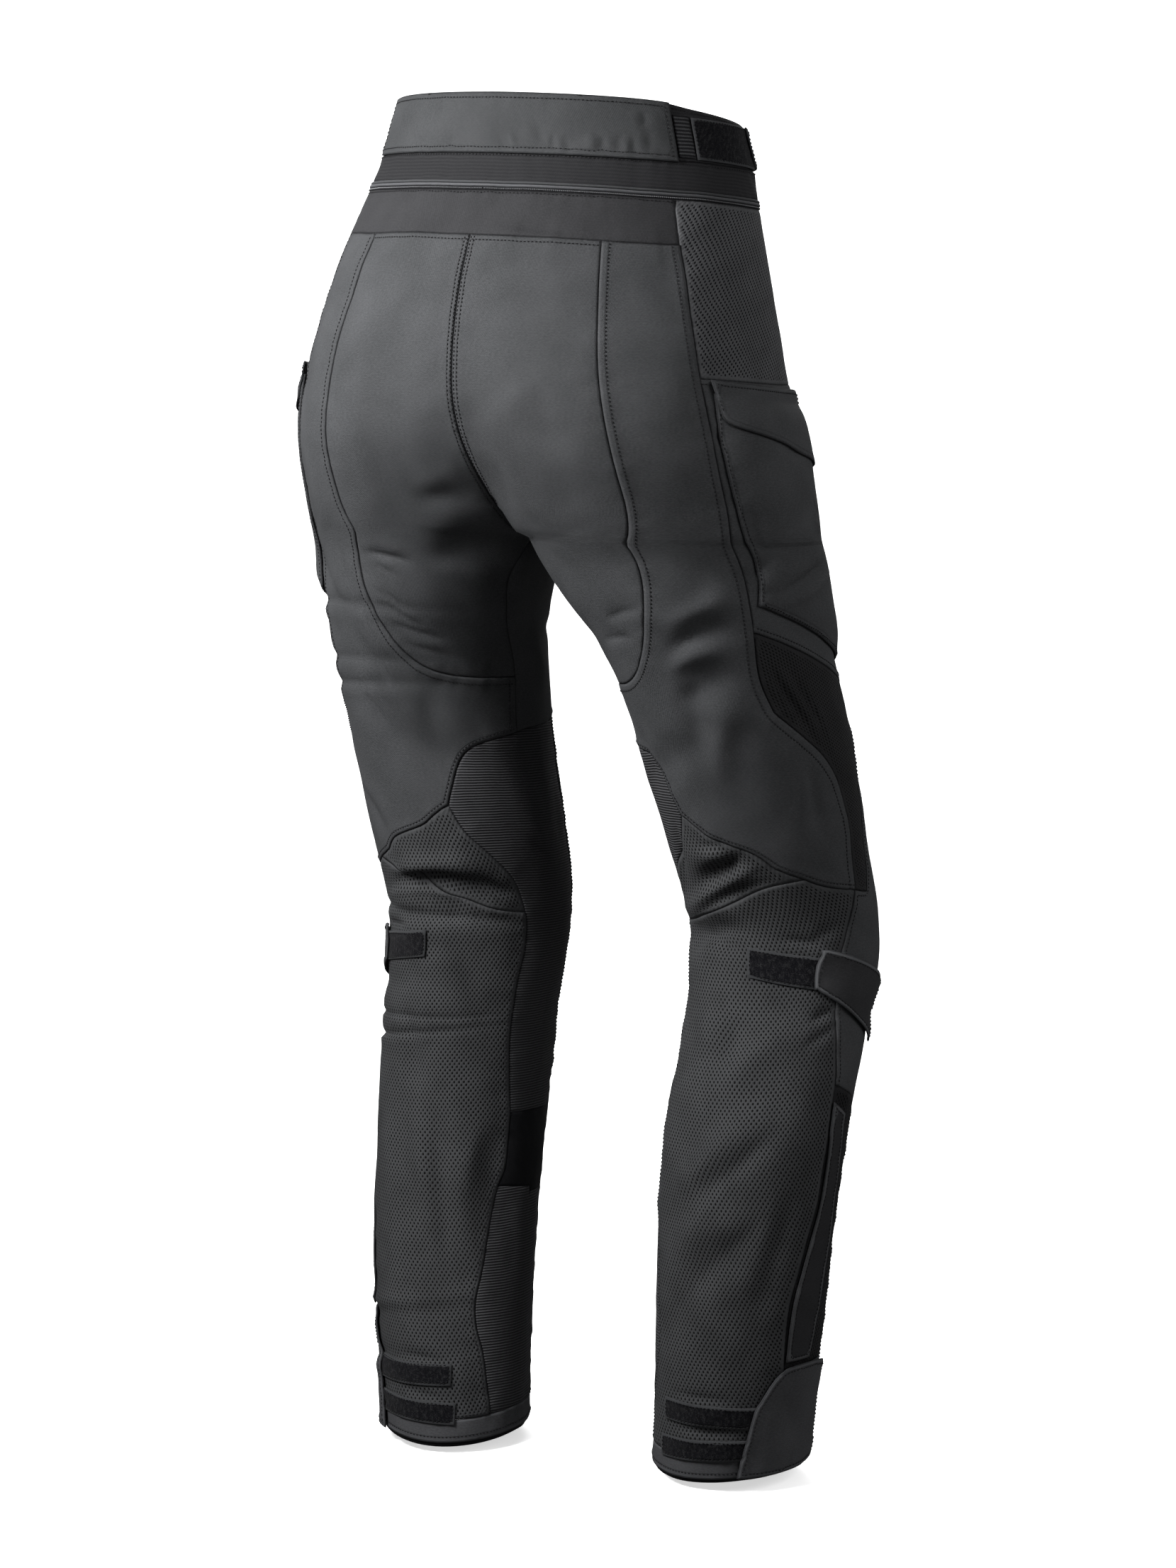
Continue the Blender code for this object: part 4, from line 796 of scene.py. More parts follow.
class Pattern:
    """The flat pattern of one half: outlines, triangles and the piece that each triangle belongs to."""

    def __init__(self, form: Form) -> None:
        """Draw the outlines and cut the cloth of one half.

        Args:
            form: The half that the pattern is laid on.
        """
        self.form = form
        self.edges = self.body_outline()
        self.panels = [(name, self.outline(points, False)) for name, points in PANELS]
        self.laid = [(name, wall, layer, self.outline(points, name in STRAIGHT))
                     for name, wall, layer, points in LAID if form.side > 0 or name not in LEFT_ONLY]
        self.cut()

    def outline(self, points: Sequence[Sequence[float]], straight: bool) -> np.ndarray:
        """A closed outline in pattern coordinates."""
        ring = np.array(points if straight else smooth_line(points, closed=True))
        return np.array([flat(share, level) for share, level in ring])

    def body_outline(self) -> np.ndarray:
        """The outer edge of the half: waist, centre front, crotch, inseam, hem and centre back."""
        waist = [flat(*point) for point in smooth_line(WAIST_EDGE) if 0 <= point[0] <= 1]
        hem = [flat(*point) for point in smooth_line(HEM_EDGE) if 0 <= point[0] <= 1]
        waist = resample(np.array(waist), SEAM_STEP)
        hem = resample(np.array(hem), SEAM_STEP)
        levels = [CROTCH_LEVEL + FORK_RISE * share ** 2 for share in np.linspace(0, 1, 30)]
        below = (hem[0][1],) + TIES + (CROTCH_LEVEL,)
        above = (max(levels),) + CENTRE_LEVELS + (waist[0][1],)
        for stops, part in ((below, slice(None, -1)), (above, slice(1, None))):
            for low, high in zip(stops, stops[1:]):
                count = max(1, round((high - low) / SEAM_STEP))
                levels.extend(np.linspace(low, high, count + 1)[part])
        levels = sorted(levels)[1:-1]
        top = max(waist[0][1], waist[-1][1])
        count = max(1, round((waist[-1][1] - waist[0][1]) / SEAM_STEP))
        extra = np.linspace(waist[0][1], top, count + 1)[:-1]
        front = [flat(0.0, level) for level in levels]
        back = [flat(1.0, level) for level in levels + list(extra)]
        return np.array(front + list(waist) + back[::-1] + list(hem[::-1]))

    def label(self, points: np.ndarray) -> np.ndarray:
        """Number of the topmost panel under each point, with the laid pieces over it."""
        panel = np.full(len(points), -1)
        for number, (_, outline) in enumerate(self.panels):
            panel[inside(outline, points)] = number
        names = [name for name, _ in PANELS]
        first = np.array([names.index(name) for name in names] + [-1])
        bits = np.zeros(len(points), int)
        for number, (_, _, _, outline) in enumerate(self.laid):
            bits += inside(outline, points).astype(int) << number
        return np.where(inside(self.edges, points), first[panel] + 100 * bits, -1)

    def segments(self) -> tuple[np.ndarray, np.ndarray]:
        """Seam segments that really part two pieces, cut where they cross.

        Returns:
            First and last points of the segments.
        """
        start, end = [self.edges], [np.roll(self.edges, -1, axis=0)]
        border = len(self.edges)
        for outline in [line for _, line in self.panels] + [piece[3] for piece in self.laid]:
            line = resample(np.concatenate((outline, outline[:1])), SEAM_STEP)
            start.append(line[:-1])
            end.append(line[1:])
        start, end = np.concatenate(start), np.concatenate(end)
        half_width = PATTERN_WIDTH / 2
        useful = ((np.minimum(start[:, 0], end[:, 0]) < half_width)
                  & (np.maximum(start[:, 0], end[:, 0]) > -half_width)
                  & (np.maximum(start[:, 1], end[:, 1]) > LOWEST_ROW))
        useful[:border] = True
        start, end = start[useful], end[useful]
        other = end - start
        parts = []
        for a, b in zip(start[border:], end[border:]):
            run = b - a
            if np.hypot(*run) < LOOK_ASIDE / 100:
                continue
            cross = run[0] * other[:, 1] - run[1] * other[:, 0]
            with np.errstate(divide="ignore", invalid="ignore"):
                t = ((start[:, 0] - a[0]) * other[:, 1] - (start[:, 1] - a[1]) * other[:, 0]) / cross
                s = ((start[:, 0] - a[0]) * run[1] - (start[:, 1] - a[1]) * run[0]) / cross
            good = (np.abs(cross) > TINY) & (t > NEAR) & (t < 1 - NEAR) & (s > -NEAR) & (s < 1 + NEAR)
            stops = np.unique(np.concatenate(((0.0, 1.0), t[good])))
            for low, high in zip(stops, stops[1:]):
                parts.append((a + run * low, a + run * high))
        first = np.array([part[0] for part in parts])
        last = np.array([part[1] for part in parts])
        middle = (first + last) / 2
        run = last - first
        aside = np.stack((-run[:, 1], run[:, 0]), axis=1) / np.maximum(np.hypot(*run.T), TINY)[:, None]
        parts_two = self.label(middle + aside * LOOK_ASIDE) != self.label(middle - aside * LOOK_ASIDE)
        return first[parts_two], last[parts_two]

    def cut(self) -> None:
        """Make the triangles of the pattern between all seams."""
        first, last = self.segments()
        joined = NearTable(JOIN_REACH)
        for point in self.edges:
            joined.add(point)
        numbers = []
        for point in np.concatenate((first, last)):
            found = joined.nearest(point)
            numbers.append(joined.add(point) if found is None else found)
        half = len(first)
        count = len(self.edges)
        edges = {(index, (index + 1) % count) for index in range(count)}
        for a, b in zip(numbers[:half], numbers[half:]):
            if a != b and (b, a) not in edges:
                edges.add((a, b))
        seam = np.array(joined.points)
        spread = NearTable(CLOTH_STEP * SPARE)
        for point in seam:
            spread.add(point)
        beside = []
        for a, b in sorted(edges):
            run = seam[b] - seam[a]
            size = np.hypot(*run)
            aside = np.array((-run[1], run[0])) / max(size, TINY) * BESIDE_SEAM
            beside.extend(((seam[a] + seam[b]) / 2 + aside, (seam[a] + seam[b]) / 2 - aside))
        beside = np.array(beside)
        close = NearTable(BESIDE_SEAM * 0.72)
        for point in seam:
            close.add(point)
        beside = np.concatenate((beside, self.form.crease_points()))
        for point in beside[inside(self.edges, beside)]:
            if close.nearest(point) is None:
                close.add(point)
                spread.add(point)
        row_step = CLOTH_STEP * math.sin(math.radians(60))
        grid = []
        for row, level in enumerate(np.arange(HEM_LEVEL, 0.012, row_step)):
            across = np.arange(-PATTERN_WIDTH / 2, PATTERN_WIDTH / 2, CLOTH_STEP) + (row % 2) * CLOTH_STEP / 2
            grid.append(np.stack((across, np.full(len(across), level)), axis=1))
        grid = np.concatenate(grid)
        for point in grid[inside(self.edges, grid)]:
            if spread.nearest(point) is None:
                spread.add(point)
        points = np.array(spread.points)
        places, _, faces, _, _, _ = delaunay_2d_cdt([Vector(point * CUT_SCALE) for point in points],
                                                    sorted(edges), [], 0, NEAR)
        places = np.array([tuple(point) for point in places]) / CUT_SCALE
        faces = np.array([face for face in faces if len(face) == 3])
        middles = places[faces].mean(axis=1)
        keep = inside(self.edges, middles)
        self.points = places
        self.faces = faces[keep]
        middles = middles[keep]
        owner = np.full(len(middles), -1)
        for number, (_, outline) in enumerate(self.panels):
            owner[inside(outline, middles)] = number
        self.owner = [PANELS[number][0] if number >= 0 else "front" for number in owner]
        self.laid_faces = {piece[0]: inside(piece[3], middles) for piece in self.laid}

    def puff(self, points: np.ndarray) -> np.ndarray:
        """How far the pocket stands off the cloth under it, at pattern points."""
        outline = next(piece[3] for piece in self.laid if piece[0] == "pocket")
        distance = np.full(len(points), PUFF_REACH)
        for a, b in zip(outline, np.roll(outline, -1, axis=0)):
            run = b - a
            share = np.clip((points - a) @ run / max(np.dot(run, run), TINY), 0, 1)
            distance = np.minimum(distance, np.hypot(*(points - a - run * share[:, None]).T))
        share = np.minimum(distance / PUFF_REACH, 1.0)
        return np.where(inside(outline, points), POCKET_PUFF * share * (2 - share), 0.0)


class Fabric(Enum):
    """The cloths that the pieces are cut from."""

    SHELL = "shell"
    BACK_STRETCH = "back_stretch"
    BAND = "band"
    YOKE = "yoke"
    TAPE = "tape"
    PLACKET = "placket"
    OPEN_MESH = "open_mesh"
    DARK_MESH = "dark_mesh"
    FINE_MESH = "fine_mesh"
    AIR_GUSSET = "air_gusset"
    RIB = "rib"
    PATCH = "patch"
    PILE = "pile"
    HEM = "hem"
    TAB = "tab"
    ELASTIC = "elastic"


FABRIC_OF = {
    "hip_mesh": Fabric.OPEN_MESH, "thigh_mesh": Fabric.DARK_MESH, "calf_mesh": Fabric.FINE_MESH,
    "knee_pit": Fabric.FINE_MESH, "gusset": Fabric.AIR_GUSSET, "inner_rib": Fabric.RIB, "inner_low": Fabric.RIB,
    "inner_patch": Fabric.PATCH, "waist_loop": Fabric.PILE, "knee_loop": Fabric.PILE,
    "cuff_loop_upper": Fabric.PILE, "cuff_loop_lower": Fabric.PILE, "waist_back": Fabric.BACK_STRETCH,
    "waistband": Fabric.BAND, "lower_band": Fabric.BAND, "zip_tape": Fabric.TAPE, "hem_band": Fabric.HEM,
    "waist_elastic": Fabric.ELASTIC, "waist_tab": Fabric.TAB, "knee_tab": Fabric.TAB, "cuff_flap": Fabric.HEM,
    "yoke": Fabric.YOKE, "placket": Fabric.PLACKET,
}


# Looks that all cloths share: reach of painted shade at a seam, how far a seam sinks them, gloss, metres a unit
# of relief
SEAM_SHADE_REACH = 0.0008
SEAM_SUNK = 0.0012
SPECULAR = 0.07
RELIEF = 0.001


class Value:
    """A number that changes over a surface, as the socket of a shader node with arithmetic."""

    def __init__(self, paint: "Paint", socket: bpy.types.NodeSocket) -> None:
        """Wrap one output socket of a paint's node tree."""
        self.paint = paint
        self.socket = socket

    def joined(self, operation: str, *others: "Value | float", turned: bool = False) -> "Value":
        """A Math node on this value and others.

        Args:
            operation: Name of the operation.
            others: Further values or plain numbers.
            turned: Whether this value comes last.

        Returns:
            The result.
        """
        values = (*others, self) if turned else (self, *others)
        node = self.paint.node("ShaderNodeMath", {"operation": operation}, dict(enumerate(values)))
        return Value(self.paint, node.outputs[0])

    def __add__(self, other: "Value | float") -> "Value":
        """Sum."""
        return self.joined("ADD", other)

    __radd__ = __add__

    def __sub__(self, other: "Value | float") -> "Value":
        """Difference."""
        return self.joined("SUBTRACT", other)

    def __rsub__(self, other: "Value | float") -> "Value":
        """Difference from a number."""
        return self.joined("SUBTRACT", other, turned=True)

    def __mul__(self, other: "Value | float") -> "Value":
        """Product."""
        return self.joined("MULTIPLY", other)

    __rmul__ = __mul__

    def wave(self, length: float) -> "Value":
        """Sine wave along this value, from -1 to 1."""
        return (self * (2 * math.pi / length)).joined("SINE")

    def size(self) -> "Value":
        """Size without its sign."""
        return self.joined("ABSOLUTE")

    def step(self, low: float, high: float) -> "Value":
        """Soft step from 0 at low to 1 at high.

        Args:
            low: Where the step starts.
            high: Where it ends.

        Returns:
            The step.
        """
        settings = {"interpolation_type": "SMOOTHSTEP"}
        if low < high:
            limits = {"From Min": low, "From Max": high, "To Min": 0.0, "To Max": 1.0}
        else:
            limits = {"From Min": high, "From Max": low, "To Min": 1.0, "To Max": 0.0}
        node = self.paint.node("ShaderNodeMapRange", settings, {"Value": self, **limits})
        return Value(self.paint, node.outputs["Result"])


class Paint:
    """One material with its node tree."""

    def __init__(self, name: str) -> None:
        """Start a material with an empty Principled shader."""
        self.material = bpy.data.materials.new(name)
        self.material.use_nodes = True
        self.tree = self.material.node_tree
        self.shader = self.tree.nodes["Principled BSDF"]

    def node(self, kind: str, settings: dict, sockets: dict) -> bpy.types.Node:
        """Add a node.

        Args:
            kind: Its type.
            settings: Its own settings, set first.
            sockets: Values or links of its sockets, by name or number.

        Returns:
            The node.
        """
        node = self.tree.nodes.new(kind)
        for name, value in settings.items():
            setattr(node, name, value)
        for name, value in sockets.items():
            self.feed(node.inputs[name], value)
        return node

    def feed(self, socket: bpy.types.NodeSocket, value: object) -> None:
        """Give a socket a link or a plain value."""
        if isinstance(value, Value):
            self.tree.links.new(value.socket, socket)
        elif isinstance(value, bpy.types.NodeSocket):
            self.tree.links.new(value, socket)
        else:
            socket.default_value = value

    def grain(self) -> tuple[Value, Value]:
        """Distance across and along the cloth in metres, from the piece's own UV map."""
        place = self.node("ShaderNodeUVMap", {"uv_map": "grain"}, {})
        parts = self.node("ShaderNodeSeparateXYZ", {}, {0: place.outputs[0]})
        return Value(self, parts.outputs[0]), Value(self, parts.outputs[1])

    def edge(self, name: str) -> Value:
        """Distance in metres that the piece carries as an attribute."""
        node = self.node("ShaderNodeAttribute", {"attribute_name": name}, {})
        return Value(self, node.outputs["Fac"])

    def noise(self, across: Value, along: Value, scale: float, detail: float = 2.0) -> Value:
        """Noise from 0 to 1 over the cloth.

        Args:
            across: First coordinate.
            along: Second coordinate.
            scale: Spots a metre.
            detail: Finer layers.

        Returns:
            The noise.
        """
        place = self.node("ShaderNodeCombineXYZ", {}, {0: across, 1: along})
        return self.spots(place.outputs[0], scale, detail)

    def spots(self, place: bpy.types.NodeSocket, scale: float, detail: float) -> Value:
        """Noise at a link's places."""
        node = self.node("ShaderNodeTexNoise", {}, {"Vector": place, "Scale": scale, "Detail": detail})
        return Value(self, node.outputs["Fac"])

    def mixed(self, share: Value, first: object, second: object) -> bpy.types.NodeSocket:
        """Colour between two colours or links."""
        node = self.node("ShaderNodeMix", {"data_type": "RGBA"}, {})
        self.feed(node.inputs[0], share)
        for socket, colour in ((node.inputs[6], first), (node.inputs[7], second)):
            self.feed(socket, (*colour, 1.0) if isinstance(colour, tuple) else colour)
        return node.outputs[2]

    def seamed(self, colour: object, dark: Triple) -> bpy.types.NodeSocket:
        """A colour with painted shade close to a seam."""
        # Painted shade: the colour is mixed halfway towards a dark colour close to a seam.
        return self.mixed(self.edge("seam").step(SEAM_SHADE_REACH, 0.0) * 0.5, colour, dark)

    def sunk(self) -> Value:
        """Relief that sinks at a seam."""
        return self.edge("seam").step(0.0, SEAM_SUNK) * 0.3

    def furrow(self) -> Value:
        """Line of the turned edge under the cloth, from 0 to 1."""
        return self.edge("fell").size().step(SEAM_SUNK, 0.0)

    def finish(self, colour: object, roughness: object, height: Value, sheen: float = 0.0) -> None:
        """Feed the shader.

        Args:
            colour: Base colour.
            roughness: Roughness.
            height: Relief in units of RELIEF metres.
            sheen: Strength of the cloth's soft sheen.
        """
        self.feed(self.shader.inputs["Base Color"], colour)
        self.feed(self.shader.inputs["Roughness"], roughness)
        self.shader.inputs["Sheen Weight"].default_value = sheen
        self.shader.inputs["Sheen Roughness"].default_value = 0.5
        self.shader.inputs["Specular IOR Level"].default_value = SPECULAR
        bump = self.node("ShaderNodeBump", {}, {"Strength": 1.0, "Distance": RELIEF, "Height": height})
        self.feed(self.shader.inputs["Normal"], bump.outputs[0])


@dataclass(frozen=True)
class Finish:
    """Look of a cloth."""

    def make(self, name: str) -> bpy.types.Material:
        """Make the material under a name."""
        paint = Paint(name)
        self.dress(paint, *paint.grain())
        return paint.material


@dataclass(frozen=True)
class Woven(Finish):
    """Plain weave with a slight heather, with painted shade in its seams and along the sunk line of its
    stitching, and lighter on its turned edges.
    """

    deep: Triple
    pale: Triple
    thread: float = 0.0011
    edge_pale: Triple = (0.060, 0.061, 0.064)
    edge_width: float = 0.0
    relief: float = 0.10

    def dress(self, paint: Paint, across: Value, along: Value) -> None:
        """Paint the weave."""
        weave = across.wave(self.thread) * along.wave(self.thread * 1.1)
        slub = paint.noise(across * 0.45, along, 900.0, 3.0)
        cloud = paint.noise(across, along, 22.0, 3.0)
        tone = weave * 0.16 + slub * 0.55 + cloud * 0.35
        colour = paint.mixed(tone.step(0.15, 0.80), self.deep, self.pale)
        if self.edge_width > 0:
            bound = paint.edge("seam").step(self.edge_width * 1.25, self.edge_width * 0.95)
            colour = paint.mixed(bound * 0.85, colour, self.edge_pale)
        furrow = paint.furrow()
        # Painted shade: darker close to the seams and along the sunk line of the stitching.
        colour = paint.mixed(furrow * 0.20, paint.seamed(colour, (0.004, 0.004, 0.005)), (0.006, 0.006, 0.007))
        height = weave * self.relief + slub * 0.22 - furrow * 0.25 + paint.sunk()
        paint.finish(colour, slub * 0.18 + 0.66, height)


@dataclass(frozen=True)
class Lattice(Finish):
    """Three-dimensional mesh: diamond holes between raised threads in slanted rows, with painted shade in the
    holes and close to the seams.
    """

    thread: Triple
    # Near-black colour of the holes: painted shade of the inside seen through them.
    hole: Triple
    pitch: float
    slant: float
    row_rate: float = 0.76
    open_share: float = 0.55
    see_through: bool = False

    def dress(self, paint: Paint, across: Value, along: Value) -> None:
        """Paint the mesh."""
        turn = math.radians(self.slant)
        one = across * math.cos(turn) + along * math.sin(turn)
        two = along * math.cos(turn) - across * math.sin(turn)
        sway = paint.noise(across, along, 40.0, 1.0) * (self.pitch * 0.5)
        rise = (one + two * self.row_rate + sway).wave(self.pitch)
        fall = (one - two * self.row_rate + sway).wave(self.pitch)
        cell = rise + fall
        hole = cell.step(self.open_share, self.open_share + 0.65) * paint.edge("seam").step(0.0030, 0.0042)
        twist = (one + two * 1.7).wave(self.pitch * 0.24)
        cloud = paint.noise(across, along, 30.0, 2.0)
        thread = paint.mixed((twist * 0.25 + cloud).step(0.2, 0.9), self.thread,
                             tuple(value * 0.62 for value in self.thread))
        # Painted shade: near-black holes and darker cloth close to the seams.
        colour = paint.seamed(paint.mixed(hole, thread, self.hole), (0.004, 0.004, 0.005))
        height = twist * 0.05 - hole * 0.45 + cell * (-0.08) + paint.sunk()
        paint.finish(colour, hole * 0.2 + 0.66, height)
        if self.see_through:
            paint.feed(paint.shader.inputs["Alpha"], 1 - hole)


@dataclass(frozen=True)
class Ribbed(Finish):
    """Stretch cloth or elastic with fine ribs across it, and painted shade close to its seams."""

    deep: Triple
    pale: Triple
    pitch: float
    relief: float = 0.30
    contrast: float = 0.33

    def dress(self, paint: Paint, across: Value, along: Value) -> None:
        """Paint the ribs."""
        sway = paint.noise(across, along * 0.3, 45.0, 1.0) * (self.pitch * 0.5)
        rib = (along + sway).wave(self.pitch)
        knit = across.wave(self.pitch * 0.55)
        slub = paint.noise(across, along, 700.0, 2.0)
        tone = rib * self.contrast + knit * 0.06 + slub * 0.4 + 0.25
        colour = paint.mixed(tone.step(0.15, 0.85), self.deep, self.pale)
        height = rib * self.relief + knit * 0.04 - paint.furrow() * 0.3 + paint.sunk()
        # Painted shade close to the seams.
        paint.finish(paint.seamed(colour, (0.003, 0.003, 0.004)), 0.78, height)


@dataclass(frozen=True)
class Pile(Finish):
    """Fuzzy loop pile of a fastening strip, with speckles and a lighter woven edge."""

    deep: Triple
    speck: Triple
    edge_pale: Triple = (0.034, 0.035, 0.037)
    edge_width: float = 0.0017

    def dress(self, paint: Paint, across: Value, along: Value) -> None:
        """Paint the pile."""
        seam = paint.edge("seam")
        fuzz = paint.noise(across, along, 1100.0, 4.0)
        tufts = paint.noise(across, along * 0.6, 380.0, 2.0)
        colour = paint.mixed((fuzz * 0.6 + tufts * 0.5).step(0.50, 0.72), self.deep, self.speck)
        bound = seam.step(self.edge_width * 1.2, self.edge_width * 0.8)
        colour = paint.mixed(bound * 0.8, colour, self.edge_pale)
        inner = seam.step(self.edge_width * 0.8, self.edge_width * 1.5)
        paint.finish(colour, 0.95, (fuzz * 0.7 + tufts * 0.6) * inner, 0.03)


@dataclass(frozen=True)
class Thread(Finish):
    """Twisted sewing thread or coil, one colour with a slight change along it."""

    colour: Triple
    roughness: float = 0.6

    def dress(self, paint: Paint, across: Value, along: Value) -> None:
        """Paint the thread."""
        place = paint.node("ShaderNodeTexCoord", {}, {})
        spots = paint.spots(place.outputs["Object"], 700.0, 1.0)
        dark = tuple(value * 0.65 for value in self.colour)
        paint.finish(paint.mixed(spots, self.colour, dark), self.roughness, spots * 0.08)


FINISHES = {
    Fabric.SHELL: Woven(deep=(0.022, 0.023, 0.024), pale=(0.054, 0.055, 0.058)),
    Fabric.BACK_STRETCH: Woven(deep=(0.020, 0.021, 0.022), pale=(0.046, 0.047, 0.049), thread=0.0014),
    Fabric.BAND: Ribbed(deep=(0.009, 0.009, 0.010), pale=(0.020, 0.020, 0.021), pitch=0.0027, relief=0.06,
                        contrast=0.10),
    Fabric.YOKE: Woven(deep=(0.015, 0.015, 0.016), pale=(0.032, 0.032, 0.034)),
    Fabric.TAPE: Woven(deep=(0.006, 0.006, 0.007), pale=(0.012, 0.012, 0.013), thread=0.0008),
    Fabric.OPEN_MESH: Lattice(thread=(0.062, 0.063, 0.066), hole=(0.003, 0.003, 0.004), pitch=0.0039,
                              slant=14.0),
    Fabric.FINE_MESH: Lattice(thread=(0.044, 0.045, 0.047), hole=(0.003, 0.003, 0.003), pitch=0.0039,
                              slant=3.0),
    Fabric.DARK_MESH: Lattice(thread=(0.019, 0.019, 0.020), hole=(0.003, 0.003, 0.003), pitch=0.0036,
                              slant=20.0),
    Fabric.AIR_GUSSET: Lattice(thread=(0.012, 0.012, 0.013), hole=(0.004, 0.004, 0.005), pitch=0.0040,
                               slant=0.0, open_share=0.6, see_through=True),
    Fabric.RIB: Ribbed(deep=(0.017, 0.017, 0.018), pale=(0.052, 0.052, 0.055), pitch=0.0022),
    Fabric.PATCH: Woven(deep=(0.004, 0.004, 0.005), pale=(0.009, 0.009, 0.010), thread=0.0008),
    Fabric.PILE: Pile(deep=(0.002, 0.002, 0.003), speck=(0.015, 0.015, 0.016)),
    Fabric.HEM: Woven(deep=(0.030, 0.030, 0.032), pale=(0.060, 0.061, 0.065), thread=0.0009, edge_width=0.0020,
                      edge_pale=(0.060, 0.061, 0.065)),
    Fabric.PLACKET: Woven(deep=(0.013, 0.013, 0.014), pale=(0.027, 0.027, 0.029), thread=0.0009,
                          edge_width=0.0026),
    Fabric.TAB: Woven(deep=(0.015, 0.015, 0.016), pale=(0.032, 0.032, 0.034), thread=0.0009, edge_width=0.0022,
                      edge_pale=(0.075, 0.077, 0.081)),
    Fabric.ELASTIC: Ribbed(deep=(0.008, 0.008, 0.009), pale=(0.040, 0.041, 0.043), pitch=0.0028, relief=0.45),
}


def placed(name: str, data: bpy.types.ID) -> bpy.types.Object:
    """Put data into the scene as an object."""
    thing = bpy.data.objects.new(name, data)
    bpy.context.scene.collection.objects.link(thing)
    return thing


def smooth_mesh(name: str, places: Iterable[np.ndarray], faces: Sequence[Sequence[int]],
                grain: Sequence[Sequence[float]] = ()) -> bpy.types.Object:
    """Make a smooth object from points and faces.

    Args:
        name: Name of the object.
        places: Its points.
        faces: Its faces.
        grain: Places of the face corners on the cloth, where the piece has a grain.

    Returns:
        The object.
    """
    data = bpy.data.meshes.new(name)
    data.from_pydata([tuple(place) for place in places], [], faces)
    if grain:
        layer = data.uv_layers.new(name="grain")
        layer.data.foreach_set("uv", np.array(grain, dtype=np.float32).ravel())
    data.shade_smooth()
    data.update()
    return placed(name, data)


@dataclass
class Piece:
    """One cut piece of cloth: its triangles with their places on the pattern, in metres."""

    name: str
    wall: float = WALL
    laid: bool = False
    faces: list[tuple[int, int, int]] = field(default_factory=list)
    grain: list[tuple[float, ...]] = field(default_factory=list)
    lift: dict[int, float] = field(default_factory=dict)

    def plain(self) -> str:
        """Name without its side."""
        return self.name.replace("_right", "").replace("_left", "")

    def border(self) -> list[Edge]:
        """Edges that only one triangle of the piece has, in the order of their triangles."""
        edges = {}
        for a, b, c in self.faces:
            edges[a, b] = edges[b, c] = edges[c, a] = True
        return [(a, b) for a, b in edges if (b, a) not in edges]

    def cut_size(self) -> Triple:
        """Width and length of the smallest strip of cloth that the piece is cut from, and its flat area."""
        corners = np.array(self.grain).reshape(-1, 3, 2)
        run = corners[:, 1] - corners[:, 0]
        onward = corners[:, 2] - corners[:, 0]
        area = float(np.abs(run[:, 0] * onward[:, 1] - run[:, 1] * onward[:, 0]).sum() / 2)
        places = corners.reshape(-1, 2)
        sizes = []
        for degrees in range(0, 90, 5):
            turn = math.radians(degrees)
            across = places @ np.array((math.cos(turn), math.sin(turn)))
            along = places @ np.array((-math.sin(turn), math.cos(turn)))
            sizes.append((float(np.ptp(across)), float(np.ptp(along))))
        width, length = min(sizes, key=lambda size: size[0] * size[1])
        width, length = max(width, NARROWEST_CUT), max(length, NARROWEST_CUT)
        return width, length, min(area, width * length)


